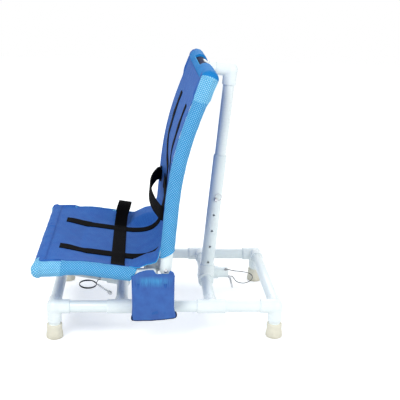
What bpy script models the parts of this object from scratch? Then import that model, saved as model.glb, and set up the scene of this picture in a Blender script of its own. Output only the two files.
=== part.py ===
"""Reclining bath chair: a plastic pipe base, a seat frame and a back frame on hinge bolts, a telescoping
strut behind the back, another under the seat, mesh slings, straps, a pouch and two pins on lanyards.

Metres, +Z up. The foot end is at -X, the user's left is at -Y, and the floor is at z = 0.
Places are first worked out from the front legs (x = 0 at their axis) and are moved to the middle at the end.
"""
import math

import bmesh
import bpy
from mathutils import Matrix, Vector

# Pipe and fittings
PIPE_OD = 0.0422
PIPE_WALL = 0.0036
FITTING_OD = 0.0510
CORNER_BALL_OD = 0.0526
SOCKET_DEPTH = 0.032
ELBOW_ARM = 0.056
TEE_HALF_RUN = 0.052
TEE_BRANCH = 0.055
BRANCH_STEP = 0.0004
BRANCH_TURN = math.radians(7)
FIT_GAP = 0.0003
SEGMENTS = 12
HOLE_SEGMENTS = 8
BALL_STEPS = 5

# Base
BASE_LENGTH = 0.797
RAIL_SPACING = 0.542
RAIL_HEIGHT = 0.118
SECOND_TEE_X = 0.239
MID_TEE_X = 0.562
FOOT_OD = 0.0610
FOOT_NECK_OD = 0.0550
FOOT_HEIGHT = 0.052
FOOT_FLARE_HEIGHT = 0.034
FOOT_SOLE = 0.010
FOOT_EDGE = 0.003

# Hinges
HINGE_HEIGHT = 0.282
HINGE_ARM = 0.064
BACK_PIVOT_REACH = 0.0497
SEAT_PIVOT_DROP = 0.020
SIDE_CLEARANCE = 0.0009
BOLT_D = 0.0080
BOLT_CLEARANCE = 0.0005
BOLT_HEAD_D = 0.0140
BOLT_HEAD_H = 0.0030
BOLT_END = 0.0020
NUT_D = 0.0140
NUT_H = 0.0060
TUBE_TAIL = 0.0080
CAP_CROWN = 0.0120
CAP_SPIGOT = 0.0025

# Seat frame, measured along the frame from the front corner to the pivot
SEAT_LENGTH = 0.3783
SEAT_RISE = 0.022
SEAT_FLAT = 0.145
SEAT_REAR = 0.078
BEND_RADIUS = 0.30
BACK_BEND_RADIUS = 1.2

# Back frame
BACK_LOWER = 0.386
BACK_LOWER_LEAN = math.radians(4.53)
BACK_UPPER = 0.296
BACK_UPPER_LEAN = math.radians(19.9)

# Telescoping struts
SLEEVE_OD = 0.0505
SLEEVE_WALL = 0.00375
SWIVEL_OD = 0.0600
SWIVEL_HALF_RUN = 0.032
SWIVEL_BRANCH = 0.060
SWIVEL_SOCKET = 0.035
SWIVEL_GAP = 0.0009
SADDLE_ARM = 0.048
SADDLE_WALL = 0.0036
SADDLE_WRAP = math.radians(168)
SADDLE_WIDTH = 0.056
SADDLE_GAP = 0.0010
HOLE_D = 0.0082
STRUT_SLEEVE_END = 0.500
STRUT_TOP_HOLE = 0.331
STRUT_HOLE_PITCH = 0.0642
STRUT_HOLE_COUNT = 5
STRUT_TUBE_START = 0.296
LEG_SLEEVE_END = 0.190
LEG_TOP_HOLE = 0.165
LEG_HOLE_PITCH = 0.022
LEG_HOLE_COUNT = 4
LEG_TUBE_START = 0.045
LEG_ELBOW_ARM = 0.050
LEG_STUB_SHARE = 0.4886
LEG_SADDLE_SHARE = 0.4188
STOP_HALF_RUN = 0.026
STUB_END = 0.094

# Quick release pins
PIN_D = 0.0072
PIN_HEAD_D = 0.0150
PIN_HEAD_H = 0.0100
PIN_TIP = 0.0020
FRONT_PIN_HEAD_H = 0.0180
RING_D = 0.0260
RING_WIRE = 0.0024
RING_TILT = math.radians(50)

# Slings
CLOTH = 0.0030
CLOTH_GAP = 0.0004
PANEL_INSET = 0.0004
SEAT_SAG = 0.050
SEAT_SAG_REACH = 0.235
BACK_SAG = 0.040
BACK_SAG_START = 0.35
BACK_SAG_UP_TO = 0.45
BACK_TAUT_FROM = 1.02
BACK_TAUT_SAG = 0.15
PANEL_ROWS = 8
PANEL_COLUMNS = 10
PANEL_START = 0.010
SEAT_PANEL_END = 0.387
SEAT_SLEEVE_END = 0.335
BACK_PANEL_START = 0.005
BACK_SLEEVE_START = 0.030
CORNER_TAPER_START = 0.064
CORNER_TAPER_END = 0.086
HINGE_ROOM_Y = 0.235
SEAT_EDGE = ((-0.081, -0.060), (-0.081, -0.035), (-0.050, 0.023), (-0.043, 0.036), (-0.043, 0.070))
BACK_EDGE = ((-0.063, -0.040), (-0.063, 0.017), (-0.031, 0.037), (0.017, 0.067), (0.057, 0.092))
EDGE_END = 0.060
TOP_CUTOUT_WIDTH = 0.260
TOP_CUTOUT_START = 0.002
FRONT_CUTOUT_WIDTH = 0.090
FRONT_CUTOUT_REACH = 0.038
FRONT_CUTOUT_RISE = 0.006
CUTOUT_DEPTH = 0.060

# Webbing
STRAP_WIDTH = 0.050
STRAP_THICK = 0.0030
STRAP_LIFT = 0.0010
STRAP_Y = 0.150
SEAT_STRAP_START = 0.065
SEAT_STRAP_END = 0.378
BACK_STRAP_START = 0.014
BACK_STRAP_END = 0.550
LAP_BELT_PLACE = 0.260
LAP_LOOP_Y = 0.275
LAP_LOOP_HEIGHT = 0.080
LAP_LOOP_FOOT = 0.085
CHEST_BELT_PLACE = 0.188
CHEST_LOOP_HEIGHT = 0.070
CHEST_BOW_Y = 0.282
CHEST_BOW_START = 0.42
BELT_END_Y = 0.302
BELT_END_GAP = 0.0007

# Pouch
POUCH_WIDTH = 0.150
POUCH_START = -0.069
POUCH_BELOW_RAIL = 0.020
POUCH_MOUTH_DROP = 0.026
POUCH_FRONT_GAP = 0.0006
POUCH_CLOTH = 0.0030
POUCH_CORNER = 0.014
POUCH_TOP = ((0.000, 0.000), (0.026, 0.017), (0.051, 0.025), (0.076, 0.025), (0.084, 0.010),
             (0.128, 0.010), (0.135, 0.023), (0.144, 0.018), (0.150, 0.000))
LOOP_CLEARANCE = 0.002
LOOP_WIDTH = 0.020
LOOP_CLOTH = 0.0025

# Lanyards
CORD_D = 0.0030
EYELET_D = 0.0110
EYELET_H = 0.0050
FRONT_EYELET_PLACE = 0.0874
FRONT_EYELET_TURN = math.radians(-20)
REAR_EYELET_PLACE = 0.083
REAR_EYELET_TURN = math.radians(49)
COIL_CENTRE = Vector((0.105, -0.036, 0.1075))
COIL_WIDTH = 0.065
COIL_HEIGHT = 0.033
COIL_PITCH = 0.0042
COIL_TURNS = 2.75
COIL_STEPS = 24
FRONT_PIN_TIP = Vector((0.1430, -0.0475, 0.1080))
FRONT_PIN_END = Vector((0.1825, -0.0475, 0.0790))
REAR_PIN_HEAD = Vector((0.6615, 0.0285, 0.1110))
REAR_PIN_TIP = Vector((0.6745, 0.0285, 0.0625))
REAR_ROUTE = (Vector((0.675, 0.0345, 0.1340)), Vector((0.7085, 0.0345, 0.1300)), Vector((0.7395, 0.0345, 0.1230)),
              Vector((0.7540, 0.0340, 0.1090)), Vector((0.7470, 0.0330, 0.0920)), Vector((0.7190, 0.0310, 0.0820)),
              Vector((0.6900, 0.0290, 0.0900)))

# Places that follow from the sizes
PIPE_R = PIPE_OD / 2
FIT_R = FITTING_OD / 2
SLEEVE_R = SLEEVE_OD / 2
RAIL_Y = RAIL_SPACING / 2
SIDE_Y = RAIL_Y + FIT_R + SIDE_CLEARANCE + PIPE_R
RISER_X = SECOND_TEE_X + 2 * TEE_HALF_RUN + FIT_GAP
SEATED = SOCKET_DEPTH - FIT_GAP
SKIN_R = PIPE_R + CLOTH_GAP + CLOTH
X = Vector((1, 0, 0))
Y = Vector((0, 1, 0))
Z = Vector((0, 0, 1))
SKEW = Vector((0.61, 0.37, 0.70)).normalized()
SIDES = (("left", -1), ("right", 1))


def leaning(angle):
    """A unit direction that leans from upright towards +X."""
    return Vector((math.sin(angle), 0, math.cos(angle)))


BACK_PIVOT = Vector((RISER_X + BACK_PIVOT_REACH, 0, HINGE_HEIGHT))
SEAT_PIVOT = Vector((RISER_X, 0, HINGE_HEIGHT - SEAT_PIVOT_DROP))
SEAT_FRONT = SEAT_PIVOT + Vector((-SEAT_LENGTH, 0, SEAT_RISE))
LOWER_WAY = leaning(BACK_LOWER_LEAN)
UPPER_WAY = leaning(BACK_UPPER_LEAN)
BACK_BEND = BACK_PIVOT + LOWER_WAY * BACK_LOWER
BACK_TOP = BACK_BEND + UPPER_WAY * BACK_UPPER
STRUT_FOOT = Vector((MID_TEE_X, 0, RAIL_HEIGHT))
LEG_FOOT = Vector((SECOND_TEE_X, 0, RAIL_HEIGHT))


def back_strut():
    """Axis, direction of the stub towards the top bar, and elbow centre of the strut behind the back."""
    offset = ELBOW_ARM + SADDLE_ARM + FIT_GAP
    reach = BACK_TOP - STRUT_FOOT
    along = math.sqrt(reach.length ** 2 - offset ** 2)
    axis = leaning(math.atan2(reach.x, reach.z) + math.asin(offset / reach.length))
    return axis, Vector((-axis.z, 0, axis.x)), STRUT_FOOT + axis * along


def leg_strut():
    """The same for the strut under the seat, which rests on the front cross tube."""
    rise = math.asin((PIPE_OD + FIT_GAP) / SECOND_TEE_X)
    reach = SEAT_FRONT - LEG_FOOT
    turn = math.atan2(reach.z, -reach.x) - rise
    axis = Vector((-math.cos(rise), 0, math.sin(rise)))
    return axis, Vector((math.sin(rise), 0, math.cos(rise))), LEG_FOOT + axis * (reach.length * math.cos(turn))


STRUT_AXIS, STRUT_STUB, STRUT_ELBOW = back_strut()
LEG_AXIS, LEG_STUB, LEG_ELBOW = leg_strut()
LEG_STUB_REACH = (SEAT_FRONT - LEG_ELBOW).length


# Materials

def material(name, colour, roughness, metallic=0.0):
    made = bpy.data.materials.new(name)
    made.use_nodes = True
    shader = made.node_tree.nodes["Principled BSDF"]
    shader.inputs["Base Color"].default_value = (*colour, 1.0)
    shader.inputs["Roughness"].default_value = roughness
    shader.inputs["Metallic"].default_value = metallic
    made.diffuse_color = (*colour, 1.0)
    return made


# Mesh tools

def new_object(name, vertices, faces):
    mesh = bpy.data.meshes.new(name)
    mesh.from_pydata([tuple(v) for v in vertices], [], faces)
    work = bmesh.new()
    work.from_mesh(mesh)
    bmesh.ops.recalc_face_normals(work, faces=work.faces)
    work.to_mesh(mesh)
    work.free()
    made = bpy.data.objects.new(name, mesh)
    bpy.context.scene.collection.objects.link(made)
    return made


def square_to(direction):
    """Two directions square to the given one, and to each other."""
    direction = direction.normalized()
    guide = X if abs(direction.y) > 0.9 else Y
    other = direction.cross(guide).normalized()
    return other.cross(direction).normalized(), other


def circle(centre, direction, radius, segments=SEGMENTS, turned=0.0):
    side, other = square_to(direction)
    turns = [2 * math.pi * step / segments + turned for step in range(segments)]
    return [centre + (side * math.cos(turn) + other * math.sin(turn)) * radius for turn in turns]


def bridge(first, second):
    """Faces between two rings of equal count, or between a ring and a single point."""
    count = max(len(first), len(second))
    faces = []
    for step in range(count):
        after = (step + 1) % count
        corners = [first[step % len(first)], second[step % len(second)], second[after % len(second)],
                   first[after % len(first)]]
        faces.append([c for i, c in enumerate(corners) if c not in corners[:i]])
    return faces


def skin_of(name, rings, closed=False):
    """A body through a chain of rings, each a list of points, with flat or pointed ends, or closed on itself."""
    vertices = [point for ring in rings for point in ring]
    starts = [sum(len(ring) for ring in rings[:index]) for index in range(len(rings))]
    index_rings = [list(range(start, start + len(ring))) for start, ring in zip(starts, rings)]
    pairs = list(zip(index_rings, index_rings[1:]))
    caps = [ring for ring in (index_rings[0], index_rings[-1]) if len(ring) > 1]
    if closed:
        pairs.append((index_rings[-1], index_rings[0]))
        caps = []
    return new_object(name, vertices, [face for first, second in pairs for face in bridge(first, second)] + caps)


def lathe(name, origin, direction, profile, segments=SEGMENTS, turned=0.0):
    """A turned body from (distance along, radius) points. Its ends are flat unless their radius is 0."""
    direction = direction.normalized()
    rings = []
    for along, radius in profile:
        centre = origin + direction * along
        rings.append(circle(centre, direction, radius, segments, turned) if radius else [centre])
    return skin_of(name, rings)


def cylinder(name, start, end, radius, segments=SEGMENTS):
    length = (end - start).length
    return lathe(name, start, end - start, [(0, radius), (length, radius)], segments)


def ball(name, centre, radius, pole=SKEW):
    turns = [math.pi * step / BALL_STEPS for step in range(1, BALL_STEPS)]
    inner = [(-radius * math.cos(turn), radius * math.sin(turn)) for turn in turns]
    return lathe(name, centre, pole, [(-radius, 0)] + inner + [(radius, 0)])


def path_rings(path, radii):
    """Rings square to a path, each in the plane that halves the bend there."""
    rings = []
    ways = [(after - before).normalized() for before, after in zip(path, path[1:])]
    for point, before, after, radius in zip(path, ways[:1] + ways, ways + ways[-1:], radii):
        rings.append(circle(point, before + after, radius))
    return rings


def rod(name, path, radii):
    """A solid round bar along a path."""
    return skin_of(name, path_rings(path, radii))


def pipe(name, path, outer=PIPE_R, wall=PIPE_WALL):
    """A hollow pipe along a path, open at both ends."""
    outside = path_rings(path, [outer] * len(path))
    inside = path_rings(path, [outer - wall] * len(path))
    return skin_of(name, outside + inside[::-1], closed=True)


def ring_of_wire(name, centre, normal, diameter, wire):
    rings = []
    for point in circle(centre, normal, diameter / 2, 16):
        out = (point - centre).normalized()
        rings.append(circle(point, normal.normalized().cross(out), wire / 2, 6))
    return skin_of(name, rings, closed=True)


def prism(name, outline, y_low, y_high):
    """An outline of (x, z) points stretched between two values of y."""
    count = len(outline)
    vertices = [Vector((x, y, z)) for y in (y_low, y_high) for x, z in outline]
    sides = [(i, (i + 1) % count, (i + 1) % count + count, i + count) for i in range(count)]
    return new_object(name, vertices, sides + [tuple(range(count)), tuple(range(2 * count - 1, count - 1, -1))])


def box(name, low, high):
    return prism(name, [(low[0], low[2]), (high[0], low[2]), (high[0], high[2]), (low[0], high[2])], low[1], high[1])


def slab(name, rows, thickness):
    """A closed sheet: rows of points in a grid, with half the thickness to each side."""
    last_row = len(rows) - 1
    last = len(rows[0]) - 1
    upper = []
    lower = []
    for i, row in enumerate(rows):
        for j, point in enumerate(row):
            along = rows[min(i + 1, last_row)][j] - rows[max(i - 1, 0)][j]
            across = row[min(j + 1, last)] - row[max(j - 1, 0)]
            half = along.cross(across).normalized() * thickness / 2
            upper.append(point + half)
            lower.append(point - half)
    width = last + 1
    size = len(upper)
    faces = []
    for i in range(last_row):
        for j in range(last):
            a = i * width + j
            faces.append((a, a + 1, a + width + 1, a + width))
            faces.append((a + size, a + width + size, a + width + 1 + size, a + 1 + size))
    rim = list(range(width)) + [i * width + last for i in range(1, last_row + 1)]
    rim += [last_row * width + j for j in range(last - 1, -1, -1)] + [i * width for i in range(last_row - 1, 0, -1)]
    faces += [(a, a + size, b + size, b) for a, b in zip(rim, rim[1:] + rim[:1])]
    return new_object(name, upper + lower, faces)


def combine(target, tools, operation):
    """Applies a Boolean with each tool in turn and removes the tools."""
    for tool in tools:
        step = target.modifiers.new("step", "BOOLEAN")
        step.operation = operation
        step.object = tool
        bpy.context.view_layer.update()
        ready = target.evaluated_get(bpy.context.evaluated_depsgraph_get())
        mesh = bpy.data.meshes.new_from_object(ready)
        target.modifiers.clear()
        target.data = mesh
        mesh.name = target.name
        bpy.data.objects.remove(tool)
    return target


def unite(target, *tools):
    return combine(target, tools, "UNION")


def cut(target, *tools):
    return combine(target, tools, "DIFFERENCE")


# Curves

def smooth_curve(points, step):
    """Points about one step apart on a smooth curve through the given ones."""
    guides = [2 * points[0] - points[1]] + list(points) + [2 * points[-1] - points[-2]]
    curve = []
    for a, b, c, d in zip(guides, guides[1:], guides[2:], guides[3:]):
        count = max(1, round((c - b).length / step))
        for index in range(count):
            t = index / count
            curve.append(0.5 * (2 * b + (c - a) * t + (2 * a - 5 * b + 4 * c - d) * t ** 2
                                + (3 * b - a - 3 * c + d) * t ** 3))
    return curve + [points[-1]]


def bent(corners, radius, steps=2):
    """Straight runs joined by bends of about the given radius."""
    points = [corners[0]]
    for before, corner, after in zip(corners, corners[1:], corners[2:]):
        back = (before - corner).normalized()
        ahead = (after - corner).normalized()
        reach = radius / math.tan(back.angle(ahead) / 2)
        start = corner + back * reach
        end = corner + ahead * reach
        for index in range(steps + 1):
            t = index / steps
            points.append(start * (1 - t) ** 2 + corner * 2 * t * (1 - t) + end * t ** 2)
    return points + [corners[-1]]


def moved_to(path, y):
    return [Vector((point.x, y, point.z)) for point in path]


def path_length(path):
    return sum((after - before).length for before, after in zip(path, path[1:]))


def station(path, distance):
    """The point and the direction at a distance along a path. Past its ends the path runs straight on."""
    left = distance
    for before, after in zip(path, path[1:]):
        span = (after - before).length
        if left <= span:
            break
        left -= span
    else:
        left += span
    way = (after - before).normalized()
    return before + way * left, way


def cord(name, points, resolution):
    """A round cord as a curve, with a flat cap at each end."""
    curve = bpy.data.curves.new(name, "CURVE")
    curve.dimensions = "3D"
    curve.bevel_depth = CORD_D / 2
    curve.bevel_resolution = resolution
    curve.use_fill_caps = True
    spline = curve.splines.new("POLY")
    spline.points.add(len(points) - 1)
    for place, point in zip(spline.points, points):
        place.co = (*point, 1.0)
    made = bpy.data.objects.new(name, curve)
    bpy.context.scene.collection.objects.link(made)
    return made


# Fittings

def arm(way, length, radius=FIT_R, bore=PIPE_R + FIT_GAP, depth=SOCKET_DEPTH):
    """One arm of a fitting, with a socket unless its bore is None."""
    return {"way": way.normalized(), "length": length, "radius": radius, "bore": bore, "depth": depth}


def arm_body(name, centre, each, order):
    """An arm's outside. Later arms are a hair slimmer and turned a little, so that no faces of two arms coincide."""
    radius = each["radius"] - order * BRANCH_STEP
    return lathe(name, centre, each["way"], [(0, radius), (each["length"], radius)], turned=order * BRANCH_TURN)


def with_sockets(body, centre, arms):
    for each in arms:
        if each["bore"]:
            start = centre + each["way"] * (each["length"] - each["depth"])
            cut(body, cylinder("bore", start, start + each["way"] * (each["depth"] + 0.01), each["bore"]))
    return body


def elbow(name, centre, arms):
    """A moulded corner: a ball with round arms, each with its socket."""
    body = ball(name, centre, CORNER_BALL_OD / 2)
    unite(body, *[arm_body("arm", centre, each, order) for order, each in enumerate(arms)])
    return with_sockets(body, centre, arms)


def tee(name, centre, way, half_run, radius, bore, branch):
    """A moulded tee with a clear bore along its run, and one branch."""
    body = lathe(name, centre, way, [(-half_run, radius), (half_run, radius)])
    unite(body, arm_body("branch", centre, branch, 1))
    with_sockets(body, centre, [branch])
    return cut(body, cylinder("run", centre - way * (half_run + 0.01), centre + way * (half_run + 0.01), bore))


def hole_across(place, radius, reach=0.05):
    """A cutter along Y through a place, reaching to both sides of it."""
    return cylinder("hole", place - Y * reach, place + Y * reach, radius, HOLE_SEGMENTS)


# Base

ENDS = (("front", 0, X), ("rear", BASE_LENGTH, -X))


def corner_elbows():
    """Three-way corners, each in one piece with the short leg glued into it."""
    made = []
    for end, x, ahead in ENDS:
        for side, sign in SIDES:
            centre = Vector((x, sign * RAIL_Y, RAIL_HEIGHT))
            arms = [arm(ahead, ELBOW_ARM), arm(-Y * sign, ELBOW_ARM), arm(-Z, ELBOW_ARM, bore=None)]
            body = elbow("corner_elbow_%s_%s" % (end, side), centre, arms)
            leg_top = centre - Z * (ELBOW_ARM - SOCKET_DEPTH)
            leg_foot = Vector((x, sign * RAIL_Y, FOOT_SOLE + FIT_GAP))
            made.append(unite(body, pipe("leg", [leg_top, leg_foot])))
    return made


def feet():
    """Flared rubber feet with a flat sole, pushed over the legs."""
    made = []
    flare = FOOT_OD / 2
    neck = FOOT_NECK_OD / 2
    profile = [(0, flare - FOOT_EDGE), (FOOT_EDGE, flare), (FOOT_SOLE, flare), (FOOT_FLARE_HEIGHT, neck),
               (FOOT_HEIGHT, neck)]
    for end, x, ahead in ENDS:
        for side, sign in SIDES:
            place = Vector((x, sign * RAIL_Y, 0))
            foot = lathe("foot_%s_%s" % (end, side), place, Z, profile)
            bore_top = place + Z * (FOOT_HEIGHT + 0.01)
            made.append(cut(foot, cylinder("bore", place + Z * FOOT_SOLE, bore_top, PIPE_R + FIT_GAP)))
    return made


def rails():
    """One pipe along each side, through the slip tees, from the front corner to the rear one."""
    made = []
    for side, sign in SIDES:
        start = Vector((ELBOW_ARM - SEATED, sign * RAIL_Y, RAIL_HEIGHT))
        end = Vector((BASE_LENGTH - ELBOW_ARM + SEATED, sign * RAIL_Y, RAIL_HEIGHT))
        made.append(pipe("rail_" + side, [start, end]))
    return made


def cross_tees():
    made = []
    for place, x in (("second", SECOND_TEE_X), ("mid", MID_TEE_X)):
        for side, sign in SIDES:
            centre = Vector((x, sign * RAIL_Y, RAIL_HEIGHT))
            branch = arm(-Y * sign, TEE_BRANCH)
            made.append(tee("%s_tee_%s" % (place, side), centre, X, TEE_HALF_RUN, FIT_R, PIPE_R + FIT_GAP, branch))
    return made


def cross_tubes():
    made = []
    places = (("front", 0, ELBOW_ARM), ("second", SECOND_TEE_X, TEE_BRANCH), ("mid", MID_TEE_X, TEE_BRANCH),
              ("rear", BASE_LENGTH, ELBOW_ARM))
    for place, x, reach in places:
        half = Y * (RAIL_Y - reach + SEATED)
        centre = Vector((x, 0, RAIL_HEIGHT))
        made.append(pipe("cross_tube_" + place, [centre - half, centre + half]))
    return made


def risers():
    """Slip tees on the rails, each in one piece with the short pipe that carries a hinge elbow."""
    made = []
    for side, sign in SIDES:
        centre = Vector((RISER_X, sign * RAIL_Y, RAIL_HEIGHT))
        branch = arm(Z, TEE_BRANCH, bore=None)
        body = tee("riser_" + side, centre, X, TEE_HALF_RUN, FIT_R, PIPE_R + FIT_GAP, branch)
        start = centre + Z * (TEE_BRANCH - SOCKET_DEPTH / 2)
        end = Vector((RISER_X, sign * RAIL_Y, HINGE_HEIGHT - ELBOW_ARM + SEATED))
        made.append(unite(body, pipe("tube", [start, end])))
    return made


# Hinges

def hinge_elbows():
    made = []
    for side, sign in SIDES:
        centre = Vector((RISER_X, sign * RAIL_Y, HINGE_HEIGHT))
        body = elbow("hinge_elbow_" + side, centre, [arm(-Z, ELBOW_ARM), arm(X, HINGE_ARM, bore=None)])
        for pivot in (SEAT_PIVOT, BACK_PIVOT):
            cut(body, hole_across(pivot + Y * sign * RAIL_Y, BOLT_D / 2 + BOLT_CLEARANCE))
        made.append(body)
    return made


def hinge_bolts():
    """Bolts along Y through the side tubes and the hinge elbows, each in one piece with its nut."""
    made = []
    inner = RAIL_Y - FIT_R - FIT_GAP
    outer = SIDE_Y + PIPE_R + FIT_GAP
    start = inner - NUT_H - BOLT_END
    profile = [(start, BOLT_D / 2), (outer, BOLT_D / 2), (outer, BOLT_HEAD_D / 2),
               (outer + BOLT_HEAD_H / 2, BOLT_HEAD_D / 2), (outer + BOLT_HEAD_H, BOLT_HEAD_D * 0.3)]
    for tag, pivot in (("seat", SEAT_PIVOT), ("back", BACK_PIVOT)):
        for side, sign in SIDES:
            bolt = lathe("%s_bolt_%s" % (tag, side), pivot, Y * sign, profile, HOLE_SEGMENTS)
            nut = cylinder("nut", pivot + Y * sign * (inner - NUT_H), pivot + Y * sign * inner, NUT_D / 2, 6)
            made.append(unite(bolt, nut))
    return made


# Seat and back frames

def seat_axis(start=0.0, end=0.0):
    """The seat side tube's axis from the front corner, less a start, to the pivot, plus an end."""
    flat_end = SEAT_FRONT + X * SEAT_FLAT
    rear_start = SEAT_PIVOT - X * SEAT_REAR
    return bent([SEAT_FRONT + X * start, flat_end, rear_start, SEAT_PIVOT + X * end], BEND_RADIUS)


def back_axis(start=0.0, end=0.0):
    """The back side tube's axis from the pivot, less a start, to the top corner, less an end."""
    return bent([BACK_PIVOT - LOWER_WAY * start, BACK_BEND, BACK_TOP - UPPER_WAY * end], BACK_BEND_RADIUS)


def end_cap(end, way):
    """The domed cap that closes a side tube behind its pivot."""
    crown = [(CAP_CROWN * rise, PIPE_R * share) for rise, share in ((0, 0.98), (0.45, 0.88), (0.8, 0.6), (1.0, 0.2))]
    return lathe("cap", end, way, [(-CAP_SPIGOT, PIPE_R * 0.95)] + crown)


def frame_pieces(tag, axis, pivot, tail_way, corner, corner_way, bar_name):
    """Two side tubes with capped ends, two corner elbows and the bar between them."""
    made = []
    for side, sign in SIDES:
        out = Y * sign * SIDE_Y
        tube = pipe("%s_side_tube_%s" % (tag, side), moved_to(axis, sign * SIDE_Y))
        cut(tube, hole_across(pivot + out, BOLT_D / 2 + BOLT_CLEARANCE))
        made.append(unite(tube, end_cap(pivot + out + tail_way * TUBE_TAIL, tail_way)))
        arms = [arm(corner_way, ELBOW_ARM), arm(-Y * sign, ELBOW_ARM)]
        made.append(elbow("%s_elbow_%s" % (tag, side), corner + out, arms))
    half = Y * (SIDE_Y - ELBOW_ARM + SEATED)
    made.append(pipe(bar_name, [corner - half, corner + half]))
    return made


def seat_frame():
    inset = ELBOW_ARM - SEATED
    return frame_pieces("seat", seat_axis(inset, TUBE_TAIL), SEAT_PIVOT, X, SEAT_FRONT, X, "seat_front_tube")


def back_frame():
    inset = ELBOW_ARM - SEATED
    return frame_pieces("back", back_axis(TUBE_TAIL, inset), BACK_PIVOT, -LOWER_WAY, BACK_TOP, -UPPER_WAY,
                        "back_top_tube")


# Struts

def saddle(name, bar, stub, reach, socket_floor):
    """A half round saddle behind the bar, in one piece with the nipple that joins it to the elbow."""
    inner = PIPE_R + SADDLE_GAP
    outer = inner + SADDLE_WALL
    half = SADDLE_WIDTH / 2
    turns = [SADDLE_WRAP * (step / 8 - 0.5) for step in range(9)]
    ways = [-stub * math.cos(turn) + stub.cross(Y) * math.sin(turn) for turn in turns]
    ring = [bar + way * outer for way in ways] + [bar + way * inner for way in ways[::-1]]
    body = prism(name, [(point.x, point.z) for point in ring], -half, half)
    end = bar - stub * reach
    unite(body, cylinder("neck", bar - stub * (inner + SADDLE_WALL / 2), end, FIT_R),
          pipe("nipple", [end + stub * SADDLE_WALL, socket_floor]))
    return cut(body, cylinder("room", bar - Y * 0.05, bar + Y * 0.05, inner))


def strut_pieces(tag, foot, axis, stub, corner, elbow_arms, saddle_arm, bar, sleeve_end, holes, tube_start,
                 eye=None):
    """The pieces on the strut's foot, then those that slide out of it: the tube with its elbow, and the saddle."""
    branch = arm(axis, SWIVEL_BRANCH, SWIVEL_OD / 2, SLEEVE_R + FIT_GAP, SWIVEL_SOCKET)
    swivel = tee(tag + "_swivel_tee", foot, Y, SWIVEL_HALF_RUN, SWIVEL_OD / 2, PIPE_R + SWIVEL_GAP, branch)
    sleeve_start = SWIVEL_BRANCH - SWIVEL_SOCKET + FIT_GAP
    sleeve = pipe(tag + "_sleeve", [foot + axis * sleeve_start, foot + axis * sleeve_end], SLEEVE_R, SLEEVE_WALL)
    for place in holes:
        cut(sleeve, hole_across(foot + axis * place, HOLE_D / 2))
    if eye:
        unite(sleeve, eyelet(eye))
    elbow_arm, stub_arm = elbow_arms
    inner = elbow(tag + "_inner_tube", corner, [arm(-axis, elbow_arm, bore=None), arm(stub, stub_arm)])
    unite(inner, pipe("tube", [foot + axis * tube_start, corner - axis * (elbow_arm - SOCKET_DEPTH)]))
    rest = saddle(tag + "_saddle", bar, stub, saddle_arm, corner + stub * (stub_arm - SEATED))
    return [swivel, sleeve], [inner, rest]


def back_strut_pieces():
    holes = [STRUT_TOP_HOLE - STRUT_HOLE_PITCH * index for index in range(STRUT_HOLE_COUNT)]
    return strut_pieces("strut", STRUT_FOOT, STRUT_AXIS, STRUT_STUB, STRUT_ELBOW, (ELBOW_ARM, ELBOW_ARM), SADDLE_ARM,
                        BACK_TOP, STRUT_SLEEVE_END, holes, STRUT_TUBE_START)


def leg_strut_pieces():
    holes = [LEG_TOP_HOLE - LEG_HOLE_PITCH * index for index in range(LEG_HOLE_COUNT)]
    arms = (LEG_ELBOW_ARM, LEG_STUB_REACH * LEG_STUB_SHARE)
    return strut_pieces("leg_strut", LEG_FOOT, LEG_AXIS, LEG_STUB, LEG_ELBOW, arms, LEG_STUB_REACH * LEG_SADDLE_SHARE,
                        SEAT_FRONT, LEG_SLEEVE_END, holes, LEG_TUBE_START, eye=front_eyelet())


def stop_centre():
    return STRUT_FOOT + Y * (SWIVEL_HALF_RUN + FIT_GAP + STOP_HALF_RUN)


def stop_tee():
    """The fixed tee beside the back strut's swivel, in one piece with its short stub and the lanyard's eyelet."""
    centre = stop_centre()
    branch = arm(X, TEE_BRANCH, bore=None)
    body = tee("stop_tee", centre, Y, STOP_HALF_RUN, FIT_R, PIPE_R + FIT_GAP, branch)
    stub = pipe("stub", [centre + X * (TEE_BRANCH - SOCKET_DEPTH / 2), centre + X * STUB_END])
    return unite(body, stub, eyelet(rear_eyelet()))


# Pins

def pin(name, tip, way, shank, head=PIN_HEAD_H):
    """A round pin from its tip to its domed head."""
    radius = PIN_HEAD_D / 2
    profile = [(0, PIN_D * 0.3), (min(PIN_TIP, shank * 0.4), PIN_D / 2), (shank, PIN_D / 2), (shank, radius),
               (shank + head * 0.7, radius), (shank + head, radius * 0.6)]
    return lathe(name, tip, way, profile, 12)


def strut_pin_place():
    return STRUT_FOOT + STRUT_AXIS * STRUT_TOP_HOLE


def strut_pin():
    """The pin in the strut's top hole. Its shank ends in the sleeve's wall, clear of the sliding tube."""
    tip = strut_pin_place() - Y * (PIPE_R + FIT_GAP)
    shank = SLEEVE_R - PIPE_R
    body = pin("strut_pin", tip, -Y, shank)
    head = tip - Y * (shank + PIN_HEAD_H * 0.45)
    out = Vector((math.cos(RING_TILT), 0, math.sin(RING_TILT)))
    return unite(body, ring_of_wire("ring", head + out * RING_D / 2, Y, RING_D, RING_WIRE))


# Slings

def sag_of_seat(distance):
    """How far the seat panel hangs below its edges in the middle, at a distance behind the front bar."""
    share = min(max(distance / SEAT_SAG_REACH, 0), 1)
    return SEAT_SAG * (3 * share ** 2 - 2 * share ** 3)


def sag_of_back(distance):
    """How far the back panel lies behind its edges in the middle, at a distance above the pivot."""
    share = min(max(distance / (BACK_LOWER + BACK_UPPER), 0), 1)
    rise = BACK_SAG_START + (1 - BACK_SAG_START) * min(share * 4, 1)
    fall = min(max((BACK_TAUT_FROM - distance / BACK_LOWER) / (BACK_TAUT_FROM - BACK_SAG_UP_TO), 0), 1)
    kept = BACK_TAUT_SAG + (1 - BACK_TAUT_SAG) * (3 * fall ** 2 - 2 * fall ** 3)
    return BACK_SAG * rise * kept * min((1 - share) * 6, 1)


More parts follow.
